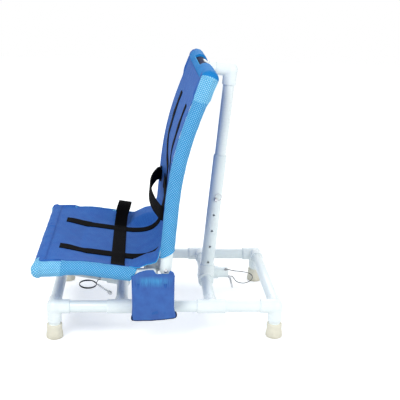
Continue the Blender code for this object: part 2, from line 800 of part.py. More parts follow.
SEAT_CLOTH = {"axis": seat_axis(), "user": Z, "sag": sag_of_seat, "start": PANEL_START, "end": SEAT_PANEL_END}
BACK_CLOTH = {"axis": back_axis(), "user": -X, "sag": sag_of_back, "start": BACK_PANEL_START,
              "end": path_length(back_axis()) - PANEL_START}


def over_frame(cloth, distance, y, height):
    """A place at a height above the side tubes' axes, towards the user."""
    point, way = station(cloth["axis"], distance)
    up = Vector((-way.z, 0, way.x))
    if up.dot(cloth["user"]) < 0:
        up = -up
    return Vector((point.x, y, point.z)) + up * height


def steps_between(low, high, count):
    return [low + (high - low) * index / count for index in range(count + 1)]


def panel_rows(cloth):
    """The panel's middle surface as a grid of points: it hangs from the sleeves and sags in between."""
    rows = []
    for distance in steps_between(cloth["start"], cloth["end"], PANEL_ROWS):
        hang = cloth["sag"](distance)
        edge = SKIN_R - CLOTH / 2 - PANEL_INSET
        rows.append([over_frame(cloth, distance, y, edge - hang * (1 - (y / SIDE_Y) ** 2))
                     for y in steps_between(-SIDE_Y, SIDE_Y, PANEL_COLUMNS)])
    return rows


def cell_of(place, low, high, count):
    share = (place - low) / (high - low) * count
    index = min(max(math.floor(share), 0), count - 1)
    return index, share - index


def on_panel(cloth, distance, y, lift):
    """A place at a lift off the panel's own facets, towards the user."""
    rows = panel_rows(cloth)
    i, s = cell_of(distance, cloth["start"], cloth["end"], PANEL_ROWS)
    j, t = cell_of(y, -SIDE_Y, SIDE_Y, PANEL_COLUMNS)
    first = rows[i][j].lerp(rows[i][j + 1], t)
    second = rows[i + 1][j].lerp(rows[i + 1][j + 1], t)
    normal = (second - first).cross(rows[i][j + 1] - rows[i][j]).normalized()
    if normal.dot(cloth["user"]) < 0:
        normal = -normal
    return first.lerp(second, s) + normal * lift


def frame_body(name, cloth, start, end, bar, corner, grow):
    """A body round the side tubes, the corner elbows and the bar, grown by a margin."""
    half = SIDE_Y
    inward = 1 if corner == start else -1
    bends = [path_length(cloth["axis"][:index + 1]) for index in range(1, len(cloth["axis"]) - 1)]
    tapers = [corner + inward * CORNER_TAPER_START, corner + inward * CORNER_TAPER_END]
    stations = [start] + sorted(place for place in bends + tapers if start < place < end) + [end]
    radii = []
    for place in stations:
        share = (CORNER_TAPER_END - abs(place - corner)) / (CORNER_TAPER_END - CORNER_TAPER_START)
        radii.append(PIPE_R + (FIT_R - PIPE_R) * min(max(share, 0), 1) + grow)
    pieces = []
    for side, sign in SIDES:
        pieces.append(rod(name, [station(cloth["axis"], place)[0] + Y * sign * half for place in stations], radii))
        pieces.append(ball(name, bar + Y * sign * half, CORNER_BALL_OD / 2 + grow))
    pieces.append(cylinder(name, bar - Y * half, bar + Y * half, CORNER_BALL_OD / 2 + grow))
    body = unite(pieces[0], *pieces[1:])
    body.name = name
    return body


def edge_cutters(edge, pivot):
    """Cutters for the slanted free edges beside the hinges, one for each side."""
    reach = SIDE_Y + SKIN_R + 0.01
    outline = [(pivot.x + x, pivot.z + z) for x, z in edge]
    outline += [(pivot.x + EDGE_END, outline[-1][1]), (pivot.x + EDGE_END, outline[0][1])]
    return [prism("edge", outline, min(sign * HINGE_ROOM_Y, sign * reach), max(sign * HINGE_ROOM_Y, sign * reach))
            for side, sign in SIDES]


def seat_sling():
    room_end = SEAT_PANEL_END + 0.02
    skin = frame_body("seat_sling", SEAT_CLOTH, 0, SEAT_SLEEVE_END, SEAT_FRONT, 0, CLOTH_GAP + CLOTH)
    unite(skin, slab("panel", panel_rows(SEAT_CLOTH), CLOTH))
    cut(skin, frame_body("room", SEAT_CLOTH, 0, room_end, SEAT_FRONT, 0, CLOTH_GAP))
    cut(skin, *edge_cutters(SEAT_EDGE, SEAT_PIVOT))
    half = FRONT_CUTOUT_WIDTH / 2
    low = SEAT_FRONT - Vector((FRONT_CUTOUT_REACH, half, CUTOUT_DEPTH))
    high = SEAT_FRONT + Vector((FRONT_CUTOUT_REACH, half, FRONT_CUTOUT_RISE))
    return cut(skin, box("cutout", low, high))


def back_sling():
    total = path_length(BACK_CLOTH["axis"])
    skin = frame_body("back_sling", BACK_CLOTH, BACK_SLEEVE_START, total, BACK_TOP, total, CLOTH_GAP + CLOTH)
    unite(skin, slab("panel", panel_rows(BACK_CLOTH), CLOTH))
    cut(skin, frame_body("room", BACK_CLOTH, -0.02, total, BACK_TOP, total, CLOTH_GAP))
    cut(skin, *edge_cutters(BACK_EDGE, BACK_PIVOT))
    half = TOP_CUTOUT_WIDTH / 2
    low = BACK_TOP + Vector((TOP_CUTOUT_START, -half, -CUTOUT_DEPTH))
    high = BACK_TOP + Vector((CUTOUT_DEPTH, half, CUTOUT_DEPTH))
    return cut(skin, box("cutout", low, high))


# Webbing

def inside(places, low, high):
    """The two limits with the places between them."""
    return [low] + [place for place in places if low < place < high] + [high]


def long_straps(tag, cloth, start, end):
    made = []
    above = CLOTH / 2 + STRAP_LIFT + STRAP_THICK / 2
    distances = inside(steps_between(cloth["start"], cloth["end"], PANEL_ROWS), start, end)
    for side, sign in SIDES:
        middle = sign * STRAP_Y
        ys = inside(steps_between(-SIDE_Y, SIDE_Y, PANEL_COLUMNS), middle - STRAP_WIDTH / 2, middle + STRAP_WIDTH / 2)
        rows = [[on_panel(cloth, distance, y, above) for y in ys] for distance in distances]
        made.append(slab("%s_strap_%s" % (tag, side), rows, STRAP_THICK))
    return made


def belt_lift(y):
    """How far a belt's middle surface lies off the panel's: over the long straps, and at its ends on the panel."""
    gap = BELT_END_GAP if abs(y) >= CHEST_BOW_Y else 2 * STRAP_LIFT + STRAP_THICK
    return (CLOTH + STRAP_THICK) / 2 + gap


def belt(name, cloth, place, laid, raised, landed):
    """A belt across the sling between its seams. It lies over the long straps at the laid and the landed values of
    y, and stands clear of the panel at the raised (y, height) points between them."""
    edges = (place - STRAP_WIDTH / 2, place + STRAP_WIDTH / 2)
    rows = [[on_panel(cloth, distance, y, belt_lift(y)) for distance in edges] for y in laid]
    rows += [[over_frame(cloth, distance, y, height) for distance in edges] for y, height in raised]
    rows += [[on_panel(cloth, distance, y, belt_lift(y)) for distance in edges] for y in landed]
    return slab(name, rows, STRAP_THICK)


def lap_belt():
    """Laid on the seat from the near seam, with a loop standing up beside the far one."""
    laid = inside(steps_between(-SIDE_Y, SIDE_Y, PANEL_COLUMNS), -BELT_END_Y, LAP_LOOP_Y - LAP_LOOP_FOOT)
    shape = ((-0.70, 0.34), (-0.52, 0.70), (-0.30, 0.92), (0.00, 1.00), (0.22, 0.90), (0.27, 0.56))
    raised = [(LAP_LOOP_Y + LAP_LOOP_FOOT * across, LAP_LOOP_HEIGHT * share) for across, share in shape]
    return belt("lap_belt", SEAT_CLOTH, LAP_BELT_PLACE, laid, raised, [BELT_END_Y])


def chest_belt():
    """Across the back, bowed forward in the middle."""
    ends = (BELT_END_Y, CHEST_BOW_Y)
    low = CHEST_LOOP_HEIGHT * CHEST_BOW_START
    shares = (-0.94, -0.8, -0.6, -0.3, 0.0, 0.3, 0.6, 0.8, 0.94)
    raised = [(CHEST_BOW_Y * share, low + (CHEST_LOOP_HEIGHT - low) * (1 - abs(share) ** 2.2)) for share in shares]
    return belt("chest_belt", BACK_CLOTH, CHEST_BELT_PLACE, [-y for y in ends], raised, ends[::-1])


# Pouch

def pouch():
    """A bag outside the left rail: an open body, a taller front wall, and a loop round the riser."""
    left = SEAT_PIVOT.x + POUCH_START
    right = left + POUCH_WIDTH
    low = RAIL_HEIGHT - POUCH_BELOW_RAIL
    mouth = SEAT_PIVOT.z - POUCH_MOUTH_DROP
    back = RAIL_Y + FIT_R + FIT_GAP
    front_inner = SIDE_Y + PIPE_R + FIT_GAP + BOLT_HEAD_H + POUCH_FRONT_GAP
    front = front_inner + POUCH_CLOTH
    corner = [(left, low + POUCH_CORNER), (left + POUCH_CORNER, low)]
    far_corner = [(right - POUCH_CORNER, low), (right, low + POUCH_CORNER)]
    bottom = corner + far_corner
    body = prism("pouch", bottom + [(right, mouth), (left, mouth)], -front, -back)
    inset = POUCH_CLOTH
    cavity = [(left + inset, low + POUCH_CORNER), (left + POUCH_CORNER, low + inset),
              (right - POUCH_CORNER, low + inset), (right - inset, low + POUCH_CORNER),
              (right - inset, mouth + inset), (left + inset, mouth + inset)]
    top = [(left + x, SEAT_PIVOT.z + z) for x, z in POUCH_TOP]
    wall = prism("wall", bottom + [(right, mouth)] + top[::-1] + [(left, mouth)], -front, -front_inner)
    cut(body, prism("cavity", cavity, -front_inner, -back - inset))
    unite(body, wall)
    riser = Vector((RISER_X, -RAIL_Y, RAIL_HEIGHT + TEE_BRANCH + LOOP_CLEARANCE + LOOP_WIDTH / 2))
    ring_r = PIPE_R + CLOTH_GAP + LOOP_CLOTH
    unite(body, cylinder("loop", riser - Z * LOOP_WIDTH / 2, riser + Z * LOOP_WIDTH / 2, ring_r),
          box("tab", (RISER_X - LOOP_WIDTH / 2, -back - inset / 2, riser.z - LOOP_WIDTH / 2),
              (RISER_X + LOOP_WIDTH / 2, -RAIL_Y - PIPE_R - CLOTH_GAP, riser.z + LOOP_WIDTH / 2)))
    return cut(body, cylinder("room", riser - Z * LOOP_WIDTH, riser + Z * LOOP_WIDTH, PIPE_R + CLOTH_GAP))


# Lanyards

def eyelet_on(centre, way, radius, turn):
    """Where an eyelet stands on a tube's near side, turned up by an angle: its foot, its way out and its face."""
    normal = -Y * math.cos(turn) + Z * math.sin(turn)
    normal = (normal - way * normal.dot(way)).normalized()
    foot = centre + normal * (radius - PIPE_WALL / 2)
    return foot, normal, centre + normal * (radius + EYELET_H)


def front_eyelet():
    return eyelet_on(LEG_FOOT + LEG_AXIS * FRONT_EYELET_PLACE, LEG_AXIS, SLEEVE_R, FRONT_EYELET_TURN)


def rear_eyelet():
    return eyelet_on(stop_centre() + X * REAR_EYELET_PLACE, X, PIPE_R, REAR_EYELET_TURN)


def eyelet(place):
    foot, normal, face = place
    return cylinder("eyelet", foot, face, EYELET_D / 2, 16)


def coil_point(turn):
    """A point on the front lanyard's oval coil. It starts at the right end and goes down first."""
    angle = 2 * math.pi * turn
    return COIL_CENTRE + Vector((COIL_WIDTH / 2 * math.cos(angle), -COIL_PITCH * turn,
                                 -COIL_HEIGHT / 2 * math.sin(angle)))


def front_lanyard():
    way = (FRONT_PIN_END - FRONT_PIN_TIP).normalized()
    foot, normal, face = front_eyelet()
    start = face + normal * FIT_GAP
    coil_start = coil_point(0)
    lead = [start, start + normal * CORD_D, coil_start + Vector((0.006, 0, 0.014)),
            coil_start + Z * (CORD_D + FIT_GAP), coil_start + Z * FIT_GAP]
    count = round(COIL_TURNS * COIL_STEPS)
    loops = [coil_point(COIL_TURNS * index / count) for index in range(count + 1)]
    end = FRONT_PIN_TIP - way * FIT_GAP
    dip = loops[-1].lerp(end, 0.45) + Z * 0.006
    tail = smooth_curve([loops[-1], dip, end - way * CORD_D * 1.5, end - way * CORD_D * 0.4, end], 2.5 * CORD_D)
    points = loops + tail[1:]
    print("front lanyard: coil %.1f mm long, least gap to itself %.2f mm"
          % (1000 * path_length(points), 1000 * least_gap(points, COIL_STEPS // 2)))
    lead_points = smooth_curve(lead, 2.5 * CORD_D)
    print("front lanyard: lead %.1f mm long" % (1000 * path_length(lead_points)))
    body = pin("front_pin", FRONT_PIN_TIP, way, (FRONT_PIN_END - FRONT_PIN_TIP).length, FRONT_PIN_HEAD_H)
    return cord("front_lanyard_lead", lead_points, 2), cord("front_lanyard_coil", points, 1), body


def least_gap(points, apart):
    """The smallest distance between two runs of a cord, less its thickness."""
    best = 1.0
    for first in range(len(points) - apart):
        for second in range(first + apart, len(points)):
            best = min(best, (points[first] - points[second]).length)
    return best - CORD_D


def rear_lanyard():
    foot, normal, face = rear_eyelet()
    start = face + normal * FIT_GAP
    way = (REAR_PIN_HEAD - REAR_PIN_TIP).normalized()
    side = Vector((way.z, 0, -way.x))
    shank = (REAR_PIN_HEAD - REAR_PIN_TIP).length - PIN_HEAD_H / 2
    body = pin("rear_pin", REAR_PIN_TIP, way, shank)
    middle = REAR_PIN_TIP + way * (shank + PIN_HEAD_H * 0.35)
    end = middle + side * (PIN_HEAD_D / 2 + FIT_GAP)
    route = [start, start + normal * CORD_D] + list(REAR_ROUTE) + [end + side * CORD_D, end]
    points = smooth_curve(route, 2.5 * CORD_D)
    print("rear lanyard: %.1f mm long" % (1000 * path_length(points)))
    return cord("rear_lanyard", points, 2), body


# The whole object

def finish(pieces, shader):
    for piece in pieces:
        if piece.type == "MESH":
            piece.data.shade_smooth()
            piece.data.set_sharp_from_angle(angle=math.radians(35))
        piece.data.materials.clear()
        piece.data.materials.append(shader)
        piece.data.name = piece.name


def middle_of(pieces):
    """The middle of the pieces from the foot end to the head end."""
    places = [corner[0] for piece in pieces for corner in piece.bound_box]
    return X * (min(places) + max(places)) / 2


def carry(pieces, name, pivot, origin, parent=None):
    """Hangs the pieces on an empty at their joint, so that their own origins lie on its axis."""
    empty = bpy.data.objects.new(name, None)
    bpy.context.scene.collection.objects.link(empty)
    empty.location = pivot - origin
    if parent:
        empty.parent = parent[0]
        empty.location = pivot - parent[1]
    for piece in pieces:
        piece.data.transform(Matrix.Translation(-pivot))
        piece.parent = empty
    return empty, pivot


def stand(pieces, origin):
    """Puts the origin of each fixed piece in its own middle."""
    for piece in pieces:
        corners = [Vector(corner) for corner in piece.bound_box]
        middle = (corners[0] + corners[6]) / 2
        piece.data.transform(Matrix.Translation(-middle))
        piece.location = middle - origin


def main():
    for item in list(bpy.data.objects):
        bpy.data.objects.remove(item)
    pvc = material("pvc", (0.86, 0.90, 0.91), 0.28)
    rubber = material("foot_rubber", (0.78, 0.72, 0.58), 0.70)
    steel = material("steel", (0.60, 0.60, 0.62), 0.30, 1.0)
    mesh_cloth = material("mesh_cloth", (0.06, 0.22, 0.60), 0.75)
    bag_cloth = material("bag_cloth", (0.05, 0.14, 0.42), 0.60)
    webbing = material("webbing", (0.02, 0.02, 0.025), 0.80)
    coated_wire = material("coated_wire", (0.10, 0.10, 0.11), 0.40)

    base_pvc = corner_elbows() + rails() + cross_tees() + cross_tubes() + risers() + hinge_elbows() + [stop_tee()]
    rubber_feet = feet()
    bolts = hinge_bolts()
    bag = [pouch()]
    rear_cord, rear_pin = rear_lanyard()
    seat_pvc = seat_frame()
    back_pvc = back_frame()
    strut_lower, strut_upper = back_strut_pieces()
    leg_lower, leg_upper = leg_strut_pieces()
    front_lead, front_coil, front_pin = front_lanyard()
    top_pin = strut_pin()
    seat_cloth = [seat_sling()]
    back_cloth = [back_sling()]
    seat_webbing = long_straps("seat", SEAT_CLOTH, SEAT_STRAP_START, SEAT_STRAP_END) + [lap_belt()]
    back_webbing = long_straps("back", BACK_CLOTH, BACK_STRAP_START, BACK_STRAP_END) + [chest_belt()]

    all_pvc = base_pvc + seat_pvc + back_pvc + strut_lower + strut_upper + leg_lower + leg_upper
    origin = middle_of(all_pvc + rubber_feet + seat_cloth + back_cloth)
    print("middle: %.5f m behind the front legs" % origin.x)

    finish(all_pvc, pvc)
    finish(rubber_feet, rubber)
    finish(bolts + [top_pin, rear_pin, front_pin], steel)
    finish(seat_cloth + back_cloth, mesh_cloth)
    finish(bag, bag_cloth)
    finish(seat_webbing + back_webbing, webbing)
    finish([rear_cord, front_lead, front_coil], coated_wire)

    stand(base_pvc + rubber_feet + bolts + bag + [rear_cord, rear_pin], origin)
    carry(seat_pvc + seat_cloth + seat_webbing, "seat_hinge", SEAT_PIVOT, origin)
    carry(back_pvc + back_cloth + back_webbing, "back_hinge", BACK_PIVOT, origin)
    strut_joint = carry(strut_lower, "strut_swivel", STRUT_FOOT, origin)
    carry(strut_upper, "strut_slide", STRUT_FOOT, origin, strut_joint)
    carry([top_pin], "strut_pin_hole", strut_pin_place(), origin, strut_joint)
    leg_joint = carry(leg_lower + [front_lead, front_coil, front_pin], "leg_strut_swivel", LEG_FOOT, origin)
    carry(leg_upper, "leg_strut_slide", LEG_FOOT, origin, leg_joint)


main()
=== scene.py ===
"""Looks of the reclining bath chair: its camera, lanyards, plastic, metal, slings, webbing, pouch and light.

Places are in metres from the front legs, as in the part's source. A piece is moved to the shared frame when
it is settled on its body.
"""
import math

import bpy
import bmesh
import numpy as np
from mathutils import Matrix, Vector


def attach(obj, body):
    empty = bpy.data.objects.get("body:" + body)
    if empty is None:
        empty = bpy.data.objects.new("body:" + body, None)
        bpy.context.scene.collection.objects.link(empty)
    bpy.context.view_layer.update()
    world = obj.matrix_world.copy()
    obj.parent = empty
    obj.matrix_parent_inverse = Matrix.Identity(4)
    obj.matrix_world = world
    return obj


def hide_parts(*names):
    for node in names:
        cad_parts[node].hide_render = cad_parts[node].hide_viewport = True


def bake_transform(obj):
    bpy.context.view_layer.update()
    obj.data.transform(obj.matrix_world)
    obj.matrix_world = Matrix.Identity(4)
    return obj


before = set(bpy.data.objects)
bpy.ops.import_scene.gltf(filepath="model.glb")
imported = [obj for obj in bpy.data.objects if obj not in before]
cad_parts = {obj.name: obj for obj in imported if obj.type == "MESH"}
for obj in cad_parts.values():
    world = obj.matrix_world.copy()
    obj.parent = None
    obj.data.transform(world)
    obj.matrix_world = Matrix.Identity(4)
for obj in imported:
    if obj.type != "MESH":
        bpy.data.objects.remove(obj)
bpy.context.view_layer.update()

# Sizes that the looks share with the solids
ORIGIN = Vector((0.37358, 0, 0))
PIPE_R = 0.0211
FIT_R = 0.0255
BALL_R = 0.0263
SOCKET_DEPTH = 0.032
ELBOW_ARM = 0.056
LEG_ELBOW_ARM = 0.050
TEE_HALF_RUN = 0.052
TEE_BRANCH = 0.055
FIT_GAP = 0.0003
BASE_LENGTH = 0.797
RAIL_Y = 0.271
RAIL_HEIGHT = 0.118
SECOND_TEE_X = 0.239
MID_TEE_X = 0.562
RISER_X = 0.3433
HINGE_HEIGHT = 0.282
HINGE_ARM = 0.064
SIDE_Y = 0.3185
TUBE_TAIL = 0.008
SEAT_LENGTH = 0.3783
SEAT_RISE = 0.022
SEAT_FLAT = 0.145
SEAT_REAR = 0.078
BEND_RADIUS = 0.30
BACK_BEND_RADIUS = 1.2
BACK_LOWER = 0.386
BACK_UPPER = 0.296
SLEEVE_R = 0.02525
SLEEVE_WALL = 0.00375
SWIVEL_R = 0.030
SWIVEL_HALF_RUN = 0.032
SWIVEL_BRANCH = 0.060
SWIVEL_SOCKET = 0.035
SADDLE_ARM = 0.048
SADDLE_WALL = 0.0036
SADDLE_WRAP = math.radians(168)
SADDLE_WIDTH = 0.056
SADDLE_GAP = 0.0010
HOLE_R = 0.0041
FIRST_HOLE = 0.331
STUB_END = 0.094
STOP_HALF_RUN = 0.026
PIN_R = 0.0036
PIN_HEAD_R = 0.0075
PIN_HEAD_H = 0.010
BOLT_R = 0.0040
SKIN_R = 0.0245
CORNER_SKIN_R = 0.0297
CORD_D = 0.003

X = Vector((1, 0, 0))
Y = Vector((0, 1, 0))
Z = Vector((0, 0, 1))
SIDES = (("left", -1), ("right", 1))
ENDS = (("front", 0.0, X), ("rear", BASE_LENGTH, -X))


def leaning(angle):
    return Vector((math.sin(angle), 0, math.cos(angle)))


BACK_PIVOT = Vector((RISER_X + 0.0497, 0, HINGE_HEIGHT))
SEAT_PIVOT = Vector((RISER_X, 0, HINGE_HEIGHT - 0.020))
SEAT_FRONT = SEAT_PIVOT + Vector((-SEAT_LENGTH, 0, SEAT_RISE))
LOWER_WAY = leaning(math.radians(4.53))
UPPER_WAY = leaning(math.radians(19.9))
BACK_BEND = BACK_PIVOT + LOWER_WAY * BACK_LOWER
BACK_TOP = BACK_BEND + UPPER_WAY * BACK_UPPER
STRUT_FOOT = Vector((MID_TEE_X, 0, RAIL_HEIGHT))
LEG_FOOT = Vector((SECOND_TEE_X, 0, RAIL_HEIGHT))
STRUT_AXIS = Vector((0.080595, 0, 0.996747))
STRUT_STUB = Vector((-0.996747, 0, 0.080595))
STRUT_ELBOW = Vector((0.25462, 0, 0.93671)) + ORIGIN
LEG_AXIS = Vector((-0.984062, 0, 0.177824))
LEG_STUB = Vector((0.177824, 0, 0.984062))
LEG_ELBOW = Vector((-0.42896, 0, 0.17120)) + ORIGIN


def link(name, data):
    """A new object in the scene for a mesh, a curve, a camera or a lamp."""
    made = bpy.data.objects.new(name, data)
    bpy.context.scene.collection.objects.link(made)
    return made


# Camera, as fitted to the pipe frame in the photograph
PITCH = math.radians(16.72)
YAW = math.radians(-4.51)
ROLL = math.radians(1.80)
EYE = Vector((0.3005, -2.922, 1.3178))
LENS = 72
SENSOR = 36


def place_camera():
    """The photograph's view."""
    ahead = Vector((-math.sin(YAW) * math.cos(PITCH), math.cos(YAW) * math.cos(PITCH), -math.sin(PITCH)))
    right = Vector((math.cos(YAW), math.sin(YAW), 0))
    up = right.cross(ahead)
    across = right * math.cos(ROLL) + up * math.sin(ROLL)
    upward = up * math.cos(ROLL) - right * math.sin(ROLL)
    data = bpy.data.cameras.new("camera")
    data.sensor_width = SENSOR
    data.lens = LENS
    camera = link("camera", data)
    turn = Matrix((across, upward, -ahead)).transposed().to_4x4()
    camera.matrix_world = Matrix.Translation(EYE - ORIGIN) @ turn
    bpy.context.scene.camera = camera


place_camera()


# Curves

def spread(start, end, steps):
    """Evenly spaced values from start to end, both included."""
    return [start + (end - start) * index / steps for index in range(steps + 1)]


def turns(count):
    """Evenly spaced angles of one full turn."""
    return spread(0, 2 * math.pi, count)[:-1]


def smooth_curve(points, step):
    """Points about one step apart on a smooth curve through the given ones."""
    guides = [2 * points[0] - points[1]] + list(points) + [2 * points[-1] - points[-2]]
    curve = []
    for a, b, c, d in zip(guides, guides[1:], guides[2:], guides[3:]):
        count = max(1, round((c - b).length / step))
        for index in range(count):
            t = index / count
            curve.append(0.5 * (2 * b + (c - a) * t + (2 * a - 5 * b + 4 * c - d) * t ** 2
                                + (3 * b - a - 3 * c + d) * t ** 3))
    return curve + [points[-1]]


def bent(corners, radius, steps=10):
    """Straight runs joined by bends of about the given radius."""
    points = [corners[0]]
    for before, corner, after in zip(corners, corners[1:], corners[2:]):
        back = (before - corner).normalized()
        ahead = (after - corner).normalized()
        reach = radius / math.tan(back.angle(ahead) / 2)
        for t in spread(0, 1, steps):
            points.append((corner + back * reach) * (1 - t) ** 2 + corner * 2 * t * (1 - t)
                          + (corner + ahead * reach) * t ** 2)
    return points + [corners[-1]]


def path_length(path):
    return sum((after - before).length for before, after in zip(path, path[1:]))


def station(path, distance):
    """The point and the direction at a distance along a path. Past its ends the path runs straight on."""
    left = distance
    for before, after in zip(path, path[1:]):
        span = (after - before).length
        if left <= span:
            break
        left -= span
    else:
        left += span
    way = (after - before).normalized()
    return before + way * left, way


def seat_axis(start=0.0, end=0.0):
    """The seat's side tube from its front corner to its pivot."""
    flat_end = SEAT_FRONT + X * SEAT_FLAT
    rear_start = SEAT_PIVOT - X * SEAT_REAR
    return bent([SEAT_FRONT + X * start, flat_end, rear_start, SEAT_PIVOT + X * end], BEND_RADIUS)


def back_axis(start=0.0, end=0.0):
    """The back's side tube from its pivot to its top corner."""
    return bent([BACK_PIVOT - LOWER_WAY * start, BACK_BEND, BACK_TOP - UPPER_WAY * end], BACK_BEND_RADIUS)


def smoothstep(low, high, value):
    share = min(max((value - low) / (high - low), 0.0), 1.0)
    return share * share * (3 - 2 * share)


# Mesh tools

SMALLEST_R = 0.0002
SHARP = math.radians(35)
ROUNDING = (0.0, 0.6, 1.1, math.pi / 2)


def new_mesh(name, vertices, faces, uvs=None, outward=True):
    mesh = bpy.data.meshes.new(name)
    mesh.from_pydata([tuple(v) for v in vertices], [], faces)
    if uvs:
        layer = mesh.uv_layers.new(name="metres")
        for loop in mesh.loops:
            layer.data[loop.index].uv = uvs[loop.vertex_index]
    if outward:
        work = bmesh.new()
        work.from_mesh(mesh)
        bmesh.ops.recalc_face_normals(work, faces=work.faces)
        work.to_mesh(mesh)
        work.free()
    mesh.shade_smooth()
    return link(name, mesh)


def square_to(direction):
    """Two directions at right angles to the given one and to each other."""
    direction = direction.normalized()
    guide = X if abs(direction.y) > 0.9 else Y
    other = direction.cross(guide).normalized()
    return other.cross(direction).normalized(), other


def circle(centre, direction, radius, segments):
    side, other = square_to(direction)
    return [centre + (side * math.cos(turn) + other * math.sin(turn)) * radius for turn in turns(segments)]


def skin_of(name, rings, closed=False, uvs=None):
    """A smooth body through equal rings, capped at both ends or closed on itself."""
    size = len(rings[0])
    vertices = [point for ring in rings for point in ring]
    faces = []
    pairs = list(zip(range(len(rings)), range(1, len(rings))))
    if closed:
        pairs.append((len(rings) - 1, 0))
    for first, second in pairs:
        a = first * size
        b = second * size
        for step in range(size):
            after = (step + 1) % size
            faces.append((a + step, a + after, b + after, b + step))
    if not closed:
        faces += [tuple(range(size)), tuple(range(len(vertices) - size, len(vertices)))]
    return new_mesh(name, vertices, faces, uvs)


def lathe(name, origin, direction, profile, segments=48):
    """A turned body from (distance along, radius) points."""
    direction = direction.normalized()
    return skin_of(name, [circle(origin + direction * along, direction, max(radius, SMALLEST_R), segments)
                          for along, radius in profile])


def wire_ring(centre, normal, radius, wire_r, steps, segments):
    """A closed ring of round wire."""
    side, other = square_to(normal)
    rings = []
    for turn in turns(steps):
        out = side * math.cos(turn) + other * math.sin(turn)
        rings.append(circle(centre + out * radius, normal.cross(out), wire_r, segments))
    return skin_of("ring", rings, True)


def rod(name, path, radius, segments=48, edge=0.0012):
    """A round bar along a path, with rounded ends."""
    ways = [(after - before).normalized() for before, after in zip(path, path[1:])]
    rings = [circle(point, before + after, radius, segments)
             for point, before, after in zip(path, ways[:1] + ways, ways + ways[-1:])]
    first, last = [[circle(place + inward * edge * (1 - math.sin(turn)), way,
                           radius - edge * (1 - math.cos(turn)), segments) for turn in ROUNDING]
                   for place, inward, way in ((path[0], ways[0], ways[0]), (path[-1], -ways[-1], ways[-1]))]
    return skin_of(name, first[::-1] + rings[1:-1] + last)


def tube(name, start, end, outer, wall, segments=64, edge=0.0009):
    """A straight pipe, open at both ends, with rounded rims."""
    way = (end - start).normalized()
    length = (end - start).length
    inner = outer - wall
    profile = [(edge, outer), (length - edge, outer), (length, outer - edge), (length, inner + edge),
               (length - edge, inner), (edge, inner), (0, inner + edge), (0, outer - edge)]
    rings = [circle(start + way * along, way, radius, segments) for along, radius in profile]
    return skin_of(name, rings, True)


def flattened(rows):
    return [each for row in rows for each in row]


def apart(marks):
    """Rows of (place, uv) pairs as rows of places and rows of uvs."""
    return [[[mark[kind] for mark in row] for row in marks] for kind in (0, 1)]


def grid(name, rows, uvs):
    """A single sheet from rows of points."""
    width = len(rows[0])
    faces = [(i * width + j, i * width + j + 1, (i + 1) * width + j + 1, (i + 1) * width + j)
             for i in range(len(rows) - 1) for j in range(width - 1)]
    return new_mesh(name, flattened(rows), faces, flattened(uvs), outward=False)


def shell(name, rows, thickness, uvs):
    """A closed sheet round rows of points on its middle surface."""
    width = len(rows[0])
    last_row = len(rows) - 1
    last = width - 1
    upper = []
    lower = []
    for i, row in enumerate(rows):
        for j, point in enumerate(row):
            along = rows[min(i + 1, last_row)][j] - rows[max(i - 1, 0)][j]
            across = row[min(j + 1, last)] - row[max(j - 1, 0)]
            half = along.cross(across).normalized() * thickness / 2
            upper.append(point + half)
            lower.append(point - half)
    size = len(upper)
    faces = []
    for i in range(last_row):
        for j in range(last):
            a = i * width + j
            faces.append((a, a + 1, a + width + 1, a + width))
            faces.append((a + size, a + width + size, a + width + 1 + size, a + 1 + size))
    rim = list(range(width)) + [i * width + last for i in range(1, last_row + 1)]
    rim += [last_row * width + j for j in range(last - 1, -1, -1)]
    rim += [i * width for i in range(last_row - 1, 0, -1)]
    faces += [(a, a + size, b + size, b) for a, b in zip(rim, rim[1:] + rim[:1])]
    return new_mesh(name, upper + lower, faces, flattened(uvs) * 2)


def joined(name, *pieces):
    """One object from several meshes."""
    work = bmesh.new()
    for piece in pieces:
        work.from_mesh(piece.data)
    mesh = bpy.data.meshes.new(name)
    work.to_mesh(mesh)
    work.free()
    mesh.shade_smooth()
    for piece in pieces:
        bpy.data.objects.remove(piece)
    return link(name, mesh)


def with_modifier(piece, kind, **settings):
    """The piece with one modifier applied."""
    step = piece.modifiers.new("step", kind)
    for key, value in settings.items():
        setattr(step, key, value)
    bpy.context.view_layer.update()
    ready = piece.evaluated_get(bpy.context.evaluated_depsgraph_get())
    mesh = bpy.data.meshes.new_from_object(ready)
    piece.modifiers.clear()
    piece.data = mesh
    return piece


def bored(piece, *cutters):
    """The piece less round bodies."""
    work = joined("cutter", *cutters)
    with_modifier(piece, "BOOLEAN", operation="DIFFERENCE", object=work, solver="EXACT")
    bpy.data.objects.remove(work)
    piece.data.set_sharp_from_angle(angle=SHARP)
    return piece


# Shader tools

def principled(name, colour, roughness, metallic=0.0, sheen=0.0, specular=0.5, coat=0.0):
    """A new material and its shader."""
    made = bpy.data.materials.new(name)
    made.use_nodes = True
    shader = made.node_tree.nodes["Principled BSDF"]
    values = {"Base Color": (*colour, 1.0), "Roughness": roughness, "Metallic": metallic,
              "Sheen Weight": sheen, "Specular IOR Level": specular, "Coat Weight": coat}
    for socket, value in values.items():
        feed(shader, socket, value)
    made.diffuse_color = (*colour, 1.0)
    return made, shader


def feed(target, socket, value):
    """Links an output into a node, or sets a plain value there."""
    if isinstance(value, bpy.types.NodeSocket):
        target.id_data.links.new(value, target.inputs[socket])
    else:
        target.inputs[socket].default_value = value


def node(tree, kind, inputs=(), **settings):
    """A node with settings; inputs are (socket, value or output) pairs."""
    made = tree.nodes.new(kind)
    for key, value in settings.items():
        setattr(made, key, value)
    for socket, value in inputs:
        feed(made, socket, value)
    return made


def noise(place, scale, detail=3.0, roughness=0.55):
    inputs = [("Vector", place), ("Scale", scale), ("Detail", detail), ("Roughness", roughness)]
    return node(place.id_data, "ShaderNodeTexNoise", inputs).outputs["Fac"]


